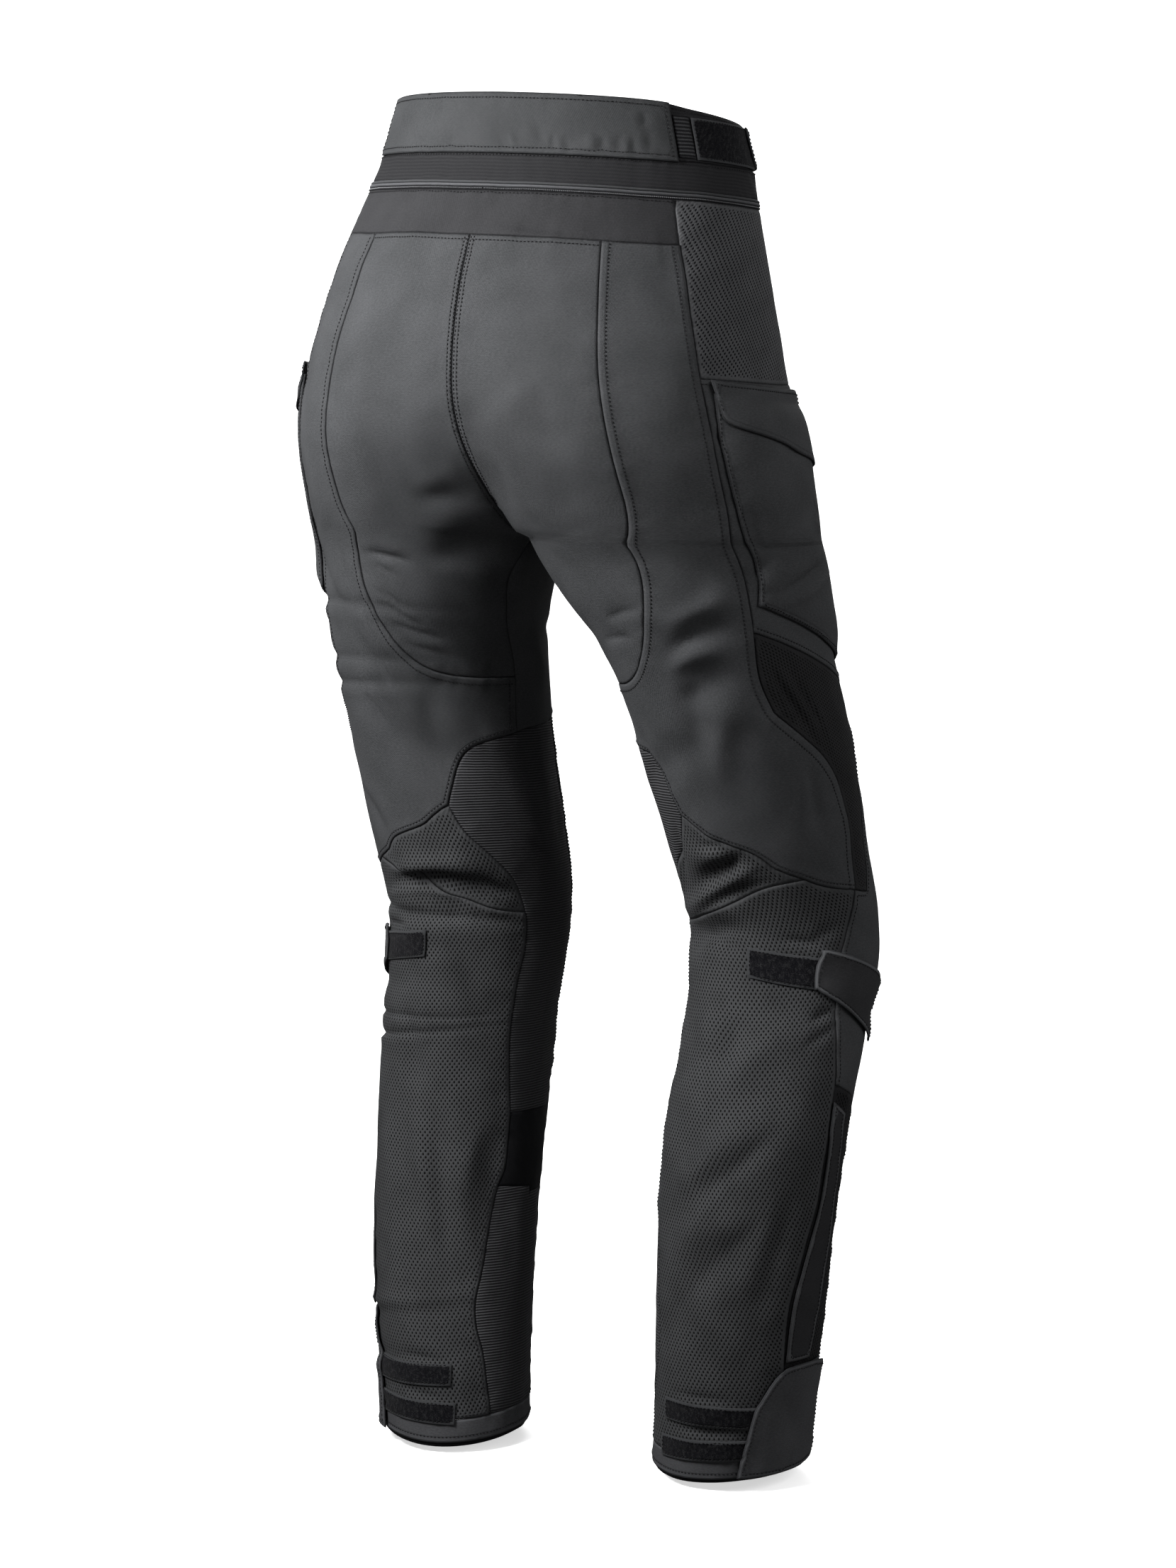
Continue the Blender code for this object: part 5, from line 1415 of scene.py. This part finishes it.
@dataclass
class Cloth:
    """Both halves of the trousers as triangles with shared points, sorted into pieces."""

    points: list[np.ndarray] = field(default_factory=list)
    normals: list[np.ndarray] = field(default_factory=list)
    numbers: dict[tuple, int] = field(default_factory=dict)
    places: dict[int, str] = field(default_factory=dict)
    pieces: dict[str, Piece] = field(default_factory=dict)
    forms: dict[str, Form] = field(default_factory=dict)

    def cut(self) -> None:
        """Cut both halves."""
        for side, word in ((-1, "right"), (1, "left")):
            self.forms[word] = Form(side)
            self.add_half(self.forms[word], Pattern(self.forms[word]), word)

    def vertex(self, name: tuple, place: np.ndarray, normal: np.ndarray) -> int:
        """Number of a point, shared where two edges of the pattern meet under one name."""
        if name not in self.numbers:
            self.numbers[name] = len(self.points)
            self.points.append(place)
            self.normals.append(normal.copy())
        else:
            number = self.numbers[name]
            self.normals[number] = self.normals[number] + normal
        return self.numbers[name]

    def add_half(self, form: Form, pattern: Pattern, word: str) -> None:
        """Place the pattern of one half on its form and sort its triangles into pieces.

        Args:
            form: The body form of the half.
            pattern: Its flat pattern.
            word: right or left.
        """
        across, level = pattern.points.T
        places, normals = form.place(across, level)
        puffs = pattern.puff(pattern.points)
        unrolled = form.unrolled(across / PATTERN_WIDTH + 0.5, level)
        width = np.interp(level, form.levels, form.lengths)
        numbers = []
        for index, (place, normal) in enumerate(zip(places, normals)):
            name = (word, index)
            spot = ""
            if abs(across[index]) > PATTERN_WIDTH / 2 - JOIN_REACH / 20:
                height = round(level[index], 5)
                name = (word, "inseam", height)
                spot = "inseam"
                if level[index] > CROTCH_LEVEL + NEAR:
                    spot = "front" if across[index] < 0 else "back"
                    name = (spot, height)
                if abs(place[0]) < CENTRE_GAP / 2:
                    normal[0] = 0.0
                    place[0] = 0.0
                elif level[index] > CROTCH_LEVEL:
                    name = (word,) + name
            number = self.vertex(name, place, normal)
            numbers.append(number)
            if spot:
                self.places[number] = spot
        numbers = np.array(numbers)

        def add(piece: Piece, chosen: np.ndarray) -> None:
            """Put some of the half's triangles into a piece, their faces turned outward."""
            for a, b, c in pattern.faces[chosen]:
                corners = (a, b, c) if form.side > 0 else (c, b, a)
                if len({int(numbers[corner]) for corner in corners}) < 3:
                    continue
                piece.faces.append(tuple(int(numbers[corner]) for corner in corners))
                mean = across[[a, b, c]].mean()
                turned = 1 if piece.plain() in INSEAM_PIECES and mean < 0 else 0
                if piece.plain() == "front" and mean > PATTERN_WIDTH / 4:
                    turned = -1
                for corner in corners:
                    u = unrolled[corner, 0] + width[corner] * turned
                    piece.grain.append((u if form.side > 0 else width[corner] - u, level[corner]))

        owners = np.array(pattern.owner)
        for owner in dict.fromkeys(pattern.owner):
            name = owner if owner in RINGS else owner + "_" + word
            add(self.pieces.setdefault(name, Piece(name)), owners == owner)
        for laid, wall, layer, _ in pattern.laid:
            name = laid if laid in RINGS else laid + "_" + word
            piece = self.pieces.setdefault(name, Piece(name, wall, True))
            chosen = pattern.laid_faces[laid]
            add(piece, chosen)
            height = LAY_GAP + (PATCH_WALL + LAY_GAP) * (layer - 1)
            for corner in np.unique(pattern.faces[chosen]):
                extra = puffs[corner] if laid in ("pocket", "pocket_flap") else 0.0
                extra += WALL - PATCH_WALL if laid == "pocket_flap" else 0.0
                piece.lift[int(numbers[corner])] = height + extra

    def owners(self) -> dict[Edge, str]:
        """Which base panel has each directed edge."""
        found = {}
        for piece in self.pieces.values():
            if not piece.laid:
                for a, b, c in piece.faces:
                    for edge in ((a, b), (b, c), (c, a)):
                        found[edge] = piece.plain()
        return found


@dataclass
class Tailor:
    """Makes the shells of the cloth pieces, with seams pressed in, turned edges and rows of stitches."""

    cloth: Cloth
    thickness: float = 0.0012
    seam_drop: float = 0.0004
    seam_reach: float = 0.0020
    laid_share: float = 0.45
    pucker: float = 0.0007
    pucker_start: float = 0.003
    pucker_reach: float = 0.0085
    pillow: float = 0.0016
    pillow_reach: float = 0.010
    fell_height: float = 0.0005
    fell_start: float = 0.0005
    fell_reach: float = 0.0028
    far: float = 0.05
    stitch_pitch: float = 0.0032
    stitch_length: float = 0.0022
    stitch_radius: float = 0.00042
    stitches: list[Strand] = field(default_factory=list)
    materials: dict[Fabric, bpy.types.Material] = field(default_factory=dict)
    pucker_waves: Ripple = field(default_factory=lambda: Ripple(0.013, 41))

    def material(self, plain: str) -> bpy.types.Material:
        """The material of a piece."""
        fabric = FABRIC_OF.get(plain, Fabric.SHELL)
        if fabric not in self.materials:
            self.materials[fabric] = FINISHES[fabric].make(fabric.value + "_cloth")
        return self.materials[fabric]

    def sew(self) -> None:
        """Make every piece and its stitches."""
        owners = self.cloth.owners()
        for piece in self.cloth.pieces.values():
            self.shell(piece, owners)

    def edge_kind(self, piece: Piece, a: int, b: int, owners: dict[Edge, str]) -> str:
        """What lies across one border edge: a panel's name, centre, free or open.

        Args:
            piece: The piece with the edge.
            a: Its first point.
            b: Its last point.
            owners: Base panel of each directed edge.

        Returns:
            The name.
        """
        places = self.cloth.places
        if places.get(a) and places.get(a) == places.get(b):
            return "inseam" if places[a] == "inseam" else "centre"
        if piece.laid:
            return "free"
        return owners.get((b, a), "open")

    def shell(self, piece: Piece, owners: dict[Edge, str]) -> None:
        """Make the closed thin shell of one piece, and its stitches.

        Args:
            piece: The piece.
            owners: Base panel of each directed edge.
        """
        border = piece.border()
        used = sorted({corner for face in piece.faces for corner in face})
        index = {corner: number for number, corner in enumerate(used)}
        points = np.array([self.cloth.points[corner] for corner in used])
        normals = np.array([self.cloth.normals[corner] for corner in used])
        normals /= np.linalg.norm(normals, axis=1, keepdims=True)
        kinds = {edge: self.edge_kind(piece, *edge, owners) for edge in border}
        rows = [row for row in STITCH_ROWS if row[0] in (piece.plain(), piece.name)]
        sewn = {}
        for _, neighbours, offsets in rows:
            for edge, kind in kinds.items():
                if kind in neighbours:
                    sewn[edge] = max(offsets)
        tree, marks = self.border_tree(border, kinds)
        sewn_tree, sewn_marks = self.border_tree([edge for edge in border if edge in sewn], sewn)
        seam = np.full(len(used), self.far)
        fell = np.full(len(used), self.far)
        height = np.zeros(len(used))
        pillow = self.pillow if piece.plain() == "waist_back" else 0.0
        for number, place in enumerate(points):
            spot, mark, away = tree.find(place)
            if spot is None:
                continue
            seam[number] = away
            drop = self.seam_drop * self.laid_share if piece.laid else self.seam_drop
            height[number] -= drop * math.exp(-(away / self.seam_reach) ** 2)
            wave = float(self.pucker_waves.at(np.array(spot[0] + spot[1]), np.array(spot[2])))
            if marks[mark] != "inseam":
                near = min(away / self.pucker_start, 1.0)
                height[number] += self.pucker * wave * math.exp(-away / self.pucker_reach) * near
            height[number] += pillow * (1 - math.exp(-(away / self.pillow_reach) ** 2))
            if sewn:
                _, mark, away = sewn_tree.find(place)
                offset = sewn_marks[mark]
                fell[number] = away - offset
                past = (away - offset - self.fell_start) / self.fell_reach
                height[number] += self.fell_height * float(smooth_step(1 - past))
        pull = {}
        for a, b in border:
            run = points[index[b]] - points[index[a]]
            run = run / np.linalg.norm(run)
            for corner in (a, b):
                pull.setdefault(corner, []).append(np.cross(normals[index[corner]], run))
        inward = np.zeros(points.shape)
        for corner, sides in pull.items():
            total = sum(sides)
            size = np.linalg.norm(total)
            if size > FLAT_CORNER:
                inward[index[corner]] = total / size * min(len(sides) / size, LONGEST_PULL)
        lift = np.array([piece.lift[corner] + piece.wall if piece.laid else 0.0 for corner in used])
        wall = piece.wall if piece.laid else self.thickness
        centre = np.array([self.cloth.places.get(corner) in ("front", "back") for corner in used])
        ring = np.array([abs(place[0]) < NEAR for place in points]) & centre
        outer = points + inward * (SEAM_GAP / 2) + normals * (lift + height)[:, None]
        outer[ring, 0] = 0.0
        inner = outer - normals * wall
        inner[ring, 0] = 0.0
        thing = self.closed(piece, border, kinds, index, outer, inner, inward, wall)
        self.attribute(thing.data, "seam", seam)
        self.attribute(thing.data, "fell", fell)
        thing.data.materials.append(self.material(piece.plain()))
        self.declare(thing, piece)
        surface = BVHTree.FromPolygons([Vector(place) for place in outer],
                                       [[index[corner] for corner in face] for face in piece.faces])
        for _, neighbours, offsets in rows:
            chosen = [edge for edge in border if kinds[edge] in neighbours]
            for offset in offsets:
                self.stitch(chosen, offset, points, normals, index, surface)

    def border_tree(self, border: Sequence[Edge], kinds: dict) -> tuple[KDTree, list]:
        """Tree of points along border edges, with each point's own mark."""
        spots = []
        marks = []
        for a, b in border:
            start, end = self.cloth.points[a], self.cloth.points[b]
            for share in (0.0, 0.25, 0.5, 0.75):
                spots.append(start + (end - start) * share)
                marks.append(kinds[a, b])
        tree = KDTree(len(spots))
        for number, spot in enumerate(spots):
            tree.insert(Vector(spot), number)
        tree.balance()
        return tree, marks

    def closed(self, piece: Piece, border: Sequence[Edge], kinds: dict, index: dict,
               outer: np.ndarray, inner: np.ndarray, inward: np.ndarray, wall: float) -> bpy.types.Object:
        """Join the outer and inner face by a turned edge and give the piece its grain map.

        Args:
            piece: The piece.
            border: Its border edges.
            kinds: What lies across each of them.
            index: Row of each point.
            outer: Outer points.
            inner: Inner points.
            inward: Direction into the piece at border points.
            wall: Thickness.

        Returns:
            The object.
        """
        count = len(outer)
        rim = sorted({corner for edge in border for corner in edge})
        loose = {corner for edge in border if kinds[edge] in ("free", "open") for corner in edge}
        rim_index = {corner: 2 * count + number for number, corner in enumerate(rim)}
        turned = np.array([(outer[index[corner]] + inner[index[corner]]) / 2
                           - inward[index[corner]] * (wall * EDGE_ROUND if corner in loose else 0.0)
                           for corner in rim])
        faces, grain, mark_of = [], [], {}
        for number, face in enumerate(piece.faces):
            marks = piece.grain[3 * number:3 * number + 3]
            a, b, c = (index[corner] for corner in face)
            faces.extend(((a, b, c), (c + count, b + count, a + count)))
            grain.extend(marks + marks[::-1])
            for corner, after, mark, mark_after in zip(face, face[1:] + face[:1], marks, marks[1:] + marks[:1]):
                mark_of[corner, after] = (mark, mark_after)
        for a, b in border:
            mark_a, mark_b = mark_of[a, b]
            faces.append((index[b], index[a], rim_index[a], rim_index[b]))
            faces.append((rim_index[b], rim_index[a], index[a] + count, index[b] + count))
            grain.extend((mark_b, mark_a, mark_a, mark_b) * 2)
        return smooth_mesh(piece.name + "_fabric", np.concatenate((outer, inner, turned)), faces, grain)

    def attribute(self, data: bpy.types.Mesh, name: str, values: np.ndarray) -> None:
        """Give a mesh one distance for each of its points, 0 on the turned edge."""
        rim = len(data.vertices) - 2 * len(values)
        layer = data.attributes.new(name, "FLOAT", "POINT")
        layer.data.foreach_set("value", np.concatenate((values, values, np.zeros(rim))).astype(np.float32))

    def declare(self, thing: bpy.types.Object, piece: Piece) -> None:
        """Attach the piece to the root, hide the part that it stands for and log how it was cut."""
        width, length, area = piece.cut_size()
        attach(thing, "root")
        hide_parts(piece.name)
        LOG.info("%s: cut %.0f x %.0f mm, %.4f m2", thing.name, width * 1000, length * 1000, area)

    def stitch(self, chosen: Sequence[Edge], offset: float, points: np.ndarray, normals: np.ndarray,
               index: dict, surface: BVHTree) -> None:
        """Lay a row of stitches beside a border.

        Args:
            chosen: Border edges that the row follows.
            offset: Distance from the border.
            points: Points of the piece.
            normals: Their normals.
            index: Row of each point.
            surface: The piece's outer face.
        """
        onward = dict(chosen)
        starts = [a for a in onward if a not in onward.values()] or list(onward)[:1]
        seen = set()
        for start in starts:
            chain = [start]
            while chain[-1] in onward and onward[chain[-1]] not in seen:
                seen.add(onward[chain[-1]])
                chain.append(onward[chain[-1]])
            if len(chain) < 4:
                continue
            line = points[[index[corner] for corner in chain]]
            facing = normals[[index[corner] for corner in chain]]
            run = np.gradient(line, axis=0)
            run /= np.maximum(np.linalg.norm(run, axis=1, keepdims=True), TINY)
            row = line + np.cross(facing, run) * offset
            for _ in range(2):
                row[1:-1] = (row[:-2] + 2 * row[1:-1] + row[2:]) / 4
            step = np.concatenate(((0.0,), np.cumsum(np.linalg.norm(np.diff(row, axis=0), axis=1))))
            for mark in np.arange(self.stitch_pitch / 2, step[-1] - self.stitch_length, self.stitch_pitch):
                ends = []
                for at in (mark, mark + self.stitch_length):
                    spot = [np.interp(at, step, row[:, axis]) for axis in range(3)]
                    found, normal, _, away = surface.find_nearest(Vector(spot))
                    if found is None or away > offset * 0.6 + 0.004:
                        break
                    ends.append((np.array(found), np.array(normal)))
                if len(ends) == 2:
                    (first, normal), (last, other) = ends
                    if np.linalg.norm(last - first) > self.stitch_length * 0.5:
                        self.stitches.append((first, last, (normal + other) / 2, self.stitch_radius))


def thread_mesh(name: str, stitches: Iterable[Strand],
                sides: int = 5, rise: float = 0.55) -> bpy.types.Object:
    """Make many small rounded strands into one object.

    Args:
        name: Name of the object.
        stitches: First point, last point, normal and radius of each strand.
        sides: Number of sides of a strand.
        rise: How far a strand's middle stands off the cloth, in radii.

    Returns:
        The object.
    """
    places = []
    faces = []
    for first, last, normal, radius in stitches:
        run = last - first
        run = run / np.linalg.norm(run)
        normal = normal - run * np.dot(normal, run)
        normal = normal / np.linalg.norm(normal)
        aside = np.cross(normal, run)
        base = len(places)
        places.append(first - normal * radius * 0.5)
        for share, size in ((0.22, 1.0), (0.78, 1.0)):
            middle = first + (last - first) * share + normal * radius * rise
            for corner in range(sides):
                turn = 2 * math.pi * corner / sides
                places.append(middle + (aside * math.cos(turn) + normal * math.sin(turn)) * radius * size)
        places.append(last - normal * radius * 0.5)
        end = base + 2 * sides + 1
        for corner in range(sides):
            after = (corner + 1) % sides
            one, two = base + 1 + corner, base + 1 + after
            faces.append((base, one, two))
            faces.append((one, one + sides, two + sides, two))
            faces.append((end, two + sides, one + sides))
    return smooth_mesh(name, places, faces)


def cord_mesh(name: str, line: np.ndarray, facing: np.ndarray, radius: float,
              sides: int = 8) -> bpy.types.Object:
    """Make a round cord along a line, closed at both ends.

    Args:
        name: Name of the object.
        line: Its middle points.
        facing: Normal of the cloth at each of them.
        radius: Its radius.
        sides: Number of sides.

    Returns:
        The object.
    """
    run = np.gradient(line, axis=0)
    run /= np.linalg.norm(run, axis=1, keepdims=True)
    aside = np.cross(facing, run)
    places = []
    for corner in range(sides):
        turn = 2 * math.pi * corner / sides
        places.append(line + (aside * math.cos(turn) + facing * math.sin(turn)) * radius)
    places = np.stack(places, axis=1).reshape(-1, 3)
    faces = [tuple(range(sides))[::-1], tuple(range(len(places) - sides, len(places)))]
    for station in range(len(line) - 1):
        for corner in range(sides):
            after = (corner + 1) % sides
            low = station * sides
            faces.append((low + corner, low + after, low + sides + after, low + sides + corner))
    return smooth_mesh(name, places, faces)


@dataclass
class Sewing:
    """All the sewing thread of one side, as one piece of small strands."""

    tailor: Tailor
    # Thread darker than the cloth: painted shade of the stitches sunk into the cloth, over the dark thread.
    finish: Thread = Thread((0.012, 0.012, 0.013), 0.6)

    def lay(self) -> None:
        """Make the strands of both sides."""
        material = self.finish.make("sewing_thread")
        for word, sign in (("right", -1), ("left", 1)):
            chosen = [stitch for stitch in self.tailor.stitches if (stitch[0][0] >= 0) == (sign > 0)]
            thing = thread_mesh("stitching_" + word, chosen)
            thing.data.materials.append(material)
            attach(thing, "root")
            LOG.info("%s: %d stitches", thing.name, len(chosen))


@dataclass
class JacketZip:
    """The jacket connection zip round the back: a lip of the band, a woven cord and a row of teeth."""

    cloth: Cloth
    pitch: float = 0.00154
    start: float = 0.07
    lip_drop: float = 0.0006
    cord_drop: float = 0.0031
    teeth_drop: float = 0.0056
    lip_radius: float = 0.0011
    cord_radius: float = 0.0012
    tooth_height: float = 0.0011
    tooth_radius: float = 0.00046
    lip_finish: Thread = Thread((0.040, 0.041, 0.043), 0.7)
    cord_finish: Thread = Thread((0.064, 0.065, 0.069), 0.6)
    teeth_finish: Thread = Thread((0.150, 0.152, 0.158), 0.4)

    def line(self, drop: float, step: float) -> tuple[np.ndarray, np.ndarray]:
        """Points and normals at one distance below the band, from the right side over the back to the left.

        Args:
            drop: Distance below the band.
            step: Distance between points.

        Returns:
            The points and the normals.
        """
        halves = []
        level = TAPE_TOP - drop
        for form in self.cloth.forms.values():
            width = float(np.interp(level, form.levels, form.lengths))
            count = round(width * (1 - self.start) / step)
            across = (np.linspace(self.start, 1, count, endpoint=False) - 0.5) * PATTERN_WIDTH
            place, normal = form.place(across, np.full(count, level))
            halves.append((place[::form.side * -1], normal[::form.side * -1]))
        return tuple(np.concatenate(parts) for parts in zip(*halves))

    def make(self) -> None:
        """Make the lip, the cord and the teeth."""
        for name, drop, radius, finish in (("zip_lip", self.lip_drop, self.lip_radius, self.lip_finish),
                                           ("zip_cord", self.cord_drop, self.cord_radius, self.cord_finish)):
            line, facing = self.line(drop, 0.004)
            thing = cord_mesh(name, line, facing, radius)
            thing.data.materials.append(finish.make(name + "_weave"))
            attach(thing, "root")
        line, facing = self.line(self.teeth_drop, self.pitch)
        rise = np.array((0.0, 0.0, self.tooth_height / 2))
        teeth = [(place - rise, place + rise, normal, self.tooth_radius) for place, normal in zip(line, facing)]
        thing = thread_mesh("zip_teeth", teeth, sides=6, rise=0.9)
        thing.data.materials.append(self.teeth_finish.make("zip_teeth_nylon"))
        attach(thing, "root")
        LOG.info("%s: %d teeth", thing.name, len(teeth))


@dataclass
class Facing:
    """A strip sewn inside an open edge: the lining that shows below the hem or inside the waist."""

    cloth: Cloth
    name: str
    words: tuple[str, ...]
    high: float
    low: float
    depth: float
    wall: float = 0.0009
    columns: int = 64
    rows: int = 5
    finish: Woven = Woven(deep=(0.005, 0.005, 0.006), pale=(0.012, 0.012, 0.013), thread=0.0008)

    def make(self, edge: Sequence[Sequence[float]]) -> None:
        """Make the strip along an edge line.

        Args:
            edge: The open edge as shares round and levels.
        """
        line = smooth_line(edge)
        stations = []
        for word in self.words:
            form = self.cloth.forms[word]
            for share in np.linspace(0, 1, self.columns)[::-1 if stations else 1]:
                level = np.interp(share, line[:, 0], line[:, 1]) + np.linspace(self.high, self.low, self.rows)
                place, normal = form.place(np.full(self.rows, (share - 0.5) * PATTERN_WIDTH), level)
                outer = place - normal * self.depth
                station = np.concatenate((outer, (outer - normal * self.wall)[::-1]))
                if not stations or np.linalg.norm(station[0] - stations[-1][0]) > 0.001:
                    stations.append(station)
        if np.linalg.norm(stations[-1][0] - stations[0][0]) < 0.001:
            stations.pop()
        places = np.array(stations)
        count, ring = places.shape[:2]
        steps = np.linalg.norm(np.roll(places, -1, axis=0) - places, axis=2)[:, 0]
        marks = np.concatenate(((0.0,), np.cumsum(steps)))
        faces, grain = [], []
        for number in range(count):
            here, onward = number * ring, (number + 1) % count * ring
            for row in range(ring):
                after = (row + 1) % ring
                faces.append((here + row, onward + row, onward + after, here + after))
                grain.extend(((marks[number], row * 0.01), (marks[number + 1], row * 0.01),
                              (marks[number + 1], row * 0.01 + 0.01), (marks[number], row * 0.01 + 0.01)))
        thing = smooth_mesh(self.name, places.reshape(-1, 3), faces, grain)
        data = thing.data
        for attribute in ("seam", "fell"):
            values = data.attributes.new(attribute, "FLOAT", "POINT")
            values.data.foreach_set("value", np.full(count * ring, 0.02, dtype=np.float32))
        mesh = bmesh.new()
        mesh.from_mesh(data)
        bmesh.ops.recalc_face_normals(mesh, faces=mesh.faces)
        mesh.to_mesh(data)
        mesh.free()
        data.update()
        data.materials.append(self.finish.make(self.name + "_lining"))
        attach(thing, "root")
        LOG.info("%s: cut %.0f x %.0f mm", self.name, abs(self.high - self.low) * 1000, marks[-1] * 1000)


@dataclass
class Studio:
    """Pale floor, soft lights and the camera at the photograph's angle.

    A lamp has a name, degrees round from the camera, degrees up, distance, size and power.
    """

    azimuth: float = 210.0
    elevation: float = 4.795
    distance: float = 2.711
    target: Triple = (-0.0178, -0.0200, -0.5384)
    lens: float = 75.90
    floor_level: float = -1.0935
    floor_size: float = 14.0
    backdrop_away: float = 5.0
    backdrop_width: float = 7.0
    backdrop_height: float = 5.5
    floor_glow: float = 0.6
    backdrop_glow: float = 1.0
    surround: float = 0.19
    lamp_target: Triple = (0.0, 0.05, -0.26)
    lamps: tuple[tuple[str, float, float, float, float, float], ...] = (
        ("key_softbox", -60, 24, 1.2, 0.6, 50),
        ("side_softbox", 58, 20, 2.0, 1.2, 19),
        ("front_softbox", 180, 25, 2.6, 1.2, 28))

    def direction(self, azimuth: float, elevation: float) -> Vector:
        """Unit vector from the object towards a place that is given by its angles in degrees."""
        turn, rise = math.radians(azimuth), math.radians(elevation)
        return Vector((math.sin(turn) * math.cos(rise), -math.cos(turn) * math.cos(rise), math.sin(rise)))

    def lamp(self, name: str, place: Vector, aim: Vector, size: float, power: float) -> None:
        """Hang one soft square lamp.

        Args:
            name: Name of the lamp.
            place: Where it hangs.
            aim: The point that it faces.
            size: Its width.
            power: Its power in watts.
        """
        data = bpy.data.lights.new(name, "AREA")
        data.shape = "SQUARE"
        data.size = size
        data.energy = power
        thing = placed(name, data)
        thing.location = place
        thing.rotation_euler = (place - aim).to_track_quat("Z", "Y").to_euler()
        thing.visible_camera = False

    def plane(self, name: str, place: Vector, turn: Triple, size: tuple[float, float],
              glow: float) -> None:
        """Set one pale studio surface.

        Args:
            name: Name of the surface.
            place: Its middle.
            turn: Its rotation.
            size: Its width and height.
            glow: Strength of the light that it gives off.
        """
        bpy.ops.object.select_all(action="DESELECT")
        bpy.ops.mesh.primitive_plane_add(size=1, location=place, rotation=turn)
        thing = bpy.context.object
        thing.name = name
        thing.scale = (*size, 1)
        bpy.ops.object.transform_apply(location=True, rotation=True, scale=True)
        paint = Paint(name + "_pale")
        paint.shader.inputs["Base Color"].default_value = (0.90, 0.90, 0.90, 1.0)
        paint.shader.inputs["Roughness"].default_value = 0.9
        paint.shader.inputs["Emission Color"].default_value = (1.0, 1.0, 1.0, 1.0)
        paint.shader.inputs["Emission Strength"].default_value = glow
        thing.data.materials.append(paint.material)
        thing.visible_diffuse = False
        thing.visible_glossy = False

    def build(self) -> None:
        """Set the floor, the backdrop, the lights and the camera."""
        behind = self.direction(self.azimuth + 180, 0)
        middle = Vector((0, 0, self.floor_level + self.backdrop_height / 2)) + behind * self.backdrop_away
        self.plane("studio_floor", Vector((0, 0, self.floor_level)), (0, 0, 0), (self.floor_size,) * 2,
                   self.floor_glow)
        self.plane("studio_backdrop", middle, (math.pi / 2, 0, math.radians(self.azimuth)),
                   (self.backdrop_width, self.backdrop_height), self.backdrop_glow)
        world = bpy.data.worlds.new("studio")
        world.use_nodes = True
        world.node_tree.nodes["Background"].inputs["Color"].default_value = (1.0, 1.0, 1.0, 1.0)
        world.node_tree.nodes["Background"].inputs["Strength"].default_value = self.surround
        bpy.context.scene.world = world
        bpy.context.scene.view_settings.view_transform = "Standard"
        seat = Vector(self.lamp_target)
        for name, round_by, up, away, size, power in self.lamps:
            self.lamp(name, seat + self.direction(self.azimuth + round_by, up) * away, seat, size, power)
        above = Vector((0, 0, self.floor_level + 2.4)) + behind * 2.8
        self.lamp("floor_softbox", above, above - Vector((0, 0, 1)), 3.0, 85)
        data = bpy.data.cameras.new("photo_camera")
        data.lens = self.lens
        data.sensor_width = 36.0
        data.sensor_fit = "AUTO"
        camera = placed("photo_camera", data)
        way = self.direction(self.azimuth, self.elevation)
        camera.location = Vector(self.target) + way * self.distance
        camera.rotation_euler = way.to_track_quat("Z", "Y").to_euler()
        bpy.context.scene.camera = camera


def main() -> None:
    """Build the trousers piece by piece and set the studio."""
    logging.basicConfig(level=logging.INFO, format="%(message)s")
    Studio().build()
    cloth = Cloth()
    cloth.cut()
    tailor = Tailor(cloth)
    tailor.sew()
    Sewing(tailor).lay()
    JacketZip(cloth).make()
    Facing(cloth, "hem_lining_right", ("right",), 0.012, -0.0035, 0.0024).make(HEM_EDGE)
    Facing(cloth, "hem_lining_left", ("left",), 0.012, -0.0035, 0.0024).make(HEM_EDGE)
    Facing(cloth, "waist_lining", ("right", "left"), -0.002, -0.048, 0.0022).make(WAIST_EDGE)


if __name__ == "__main__":
    main()
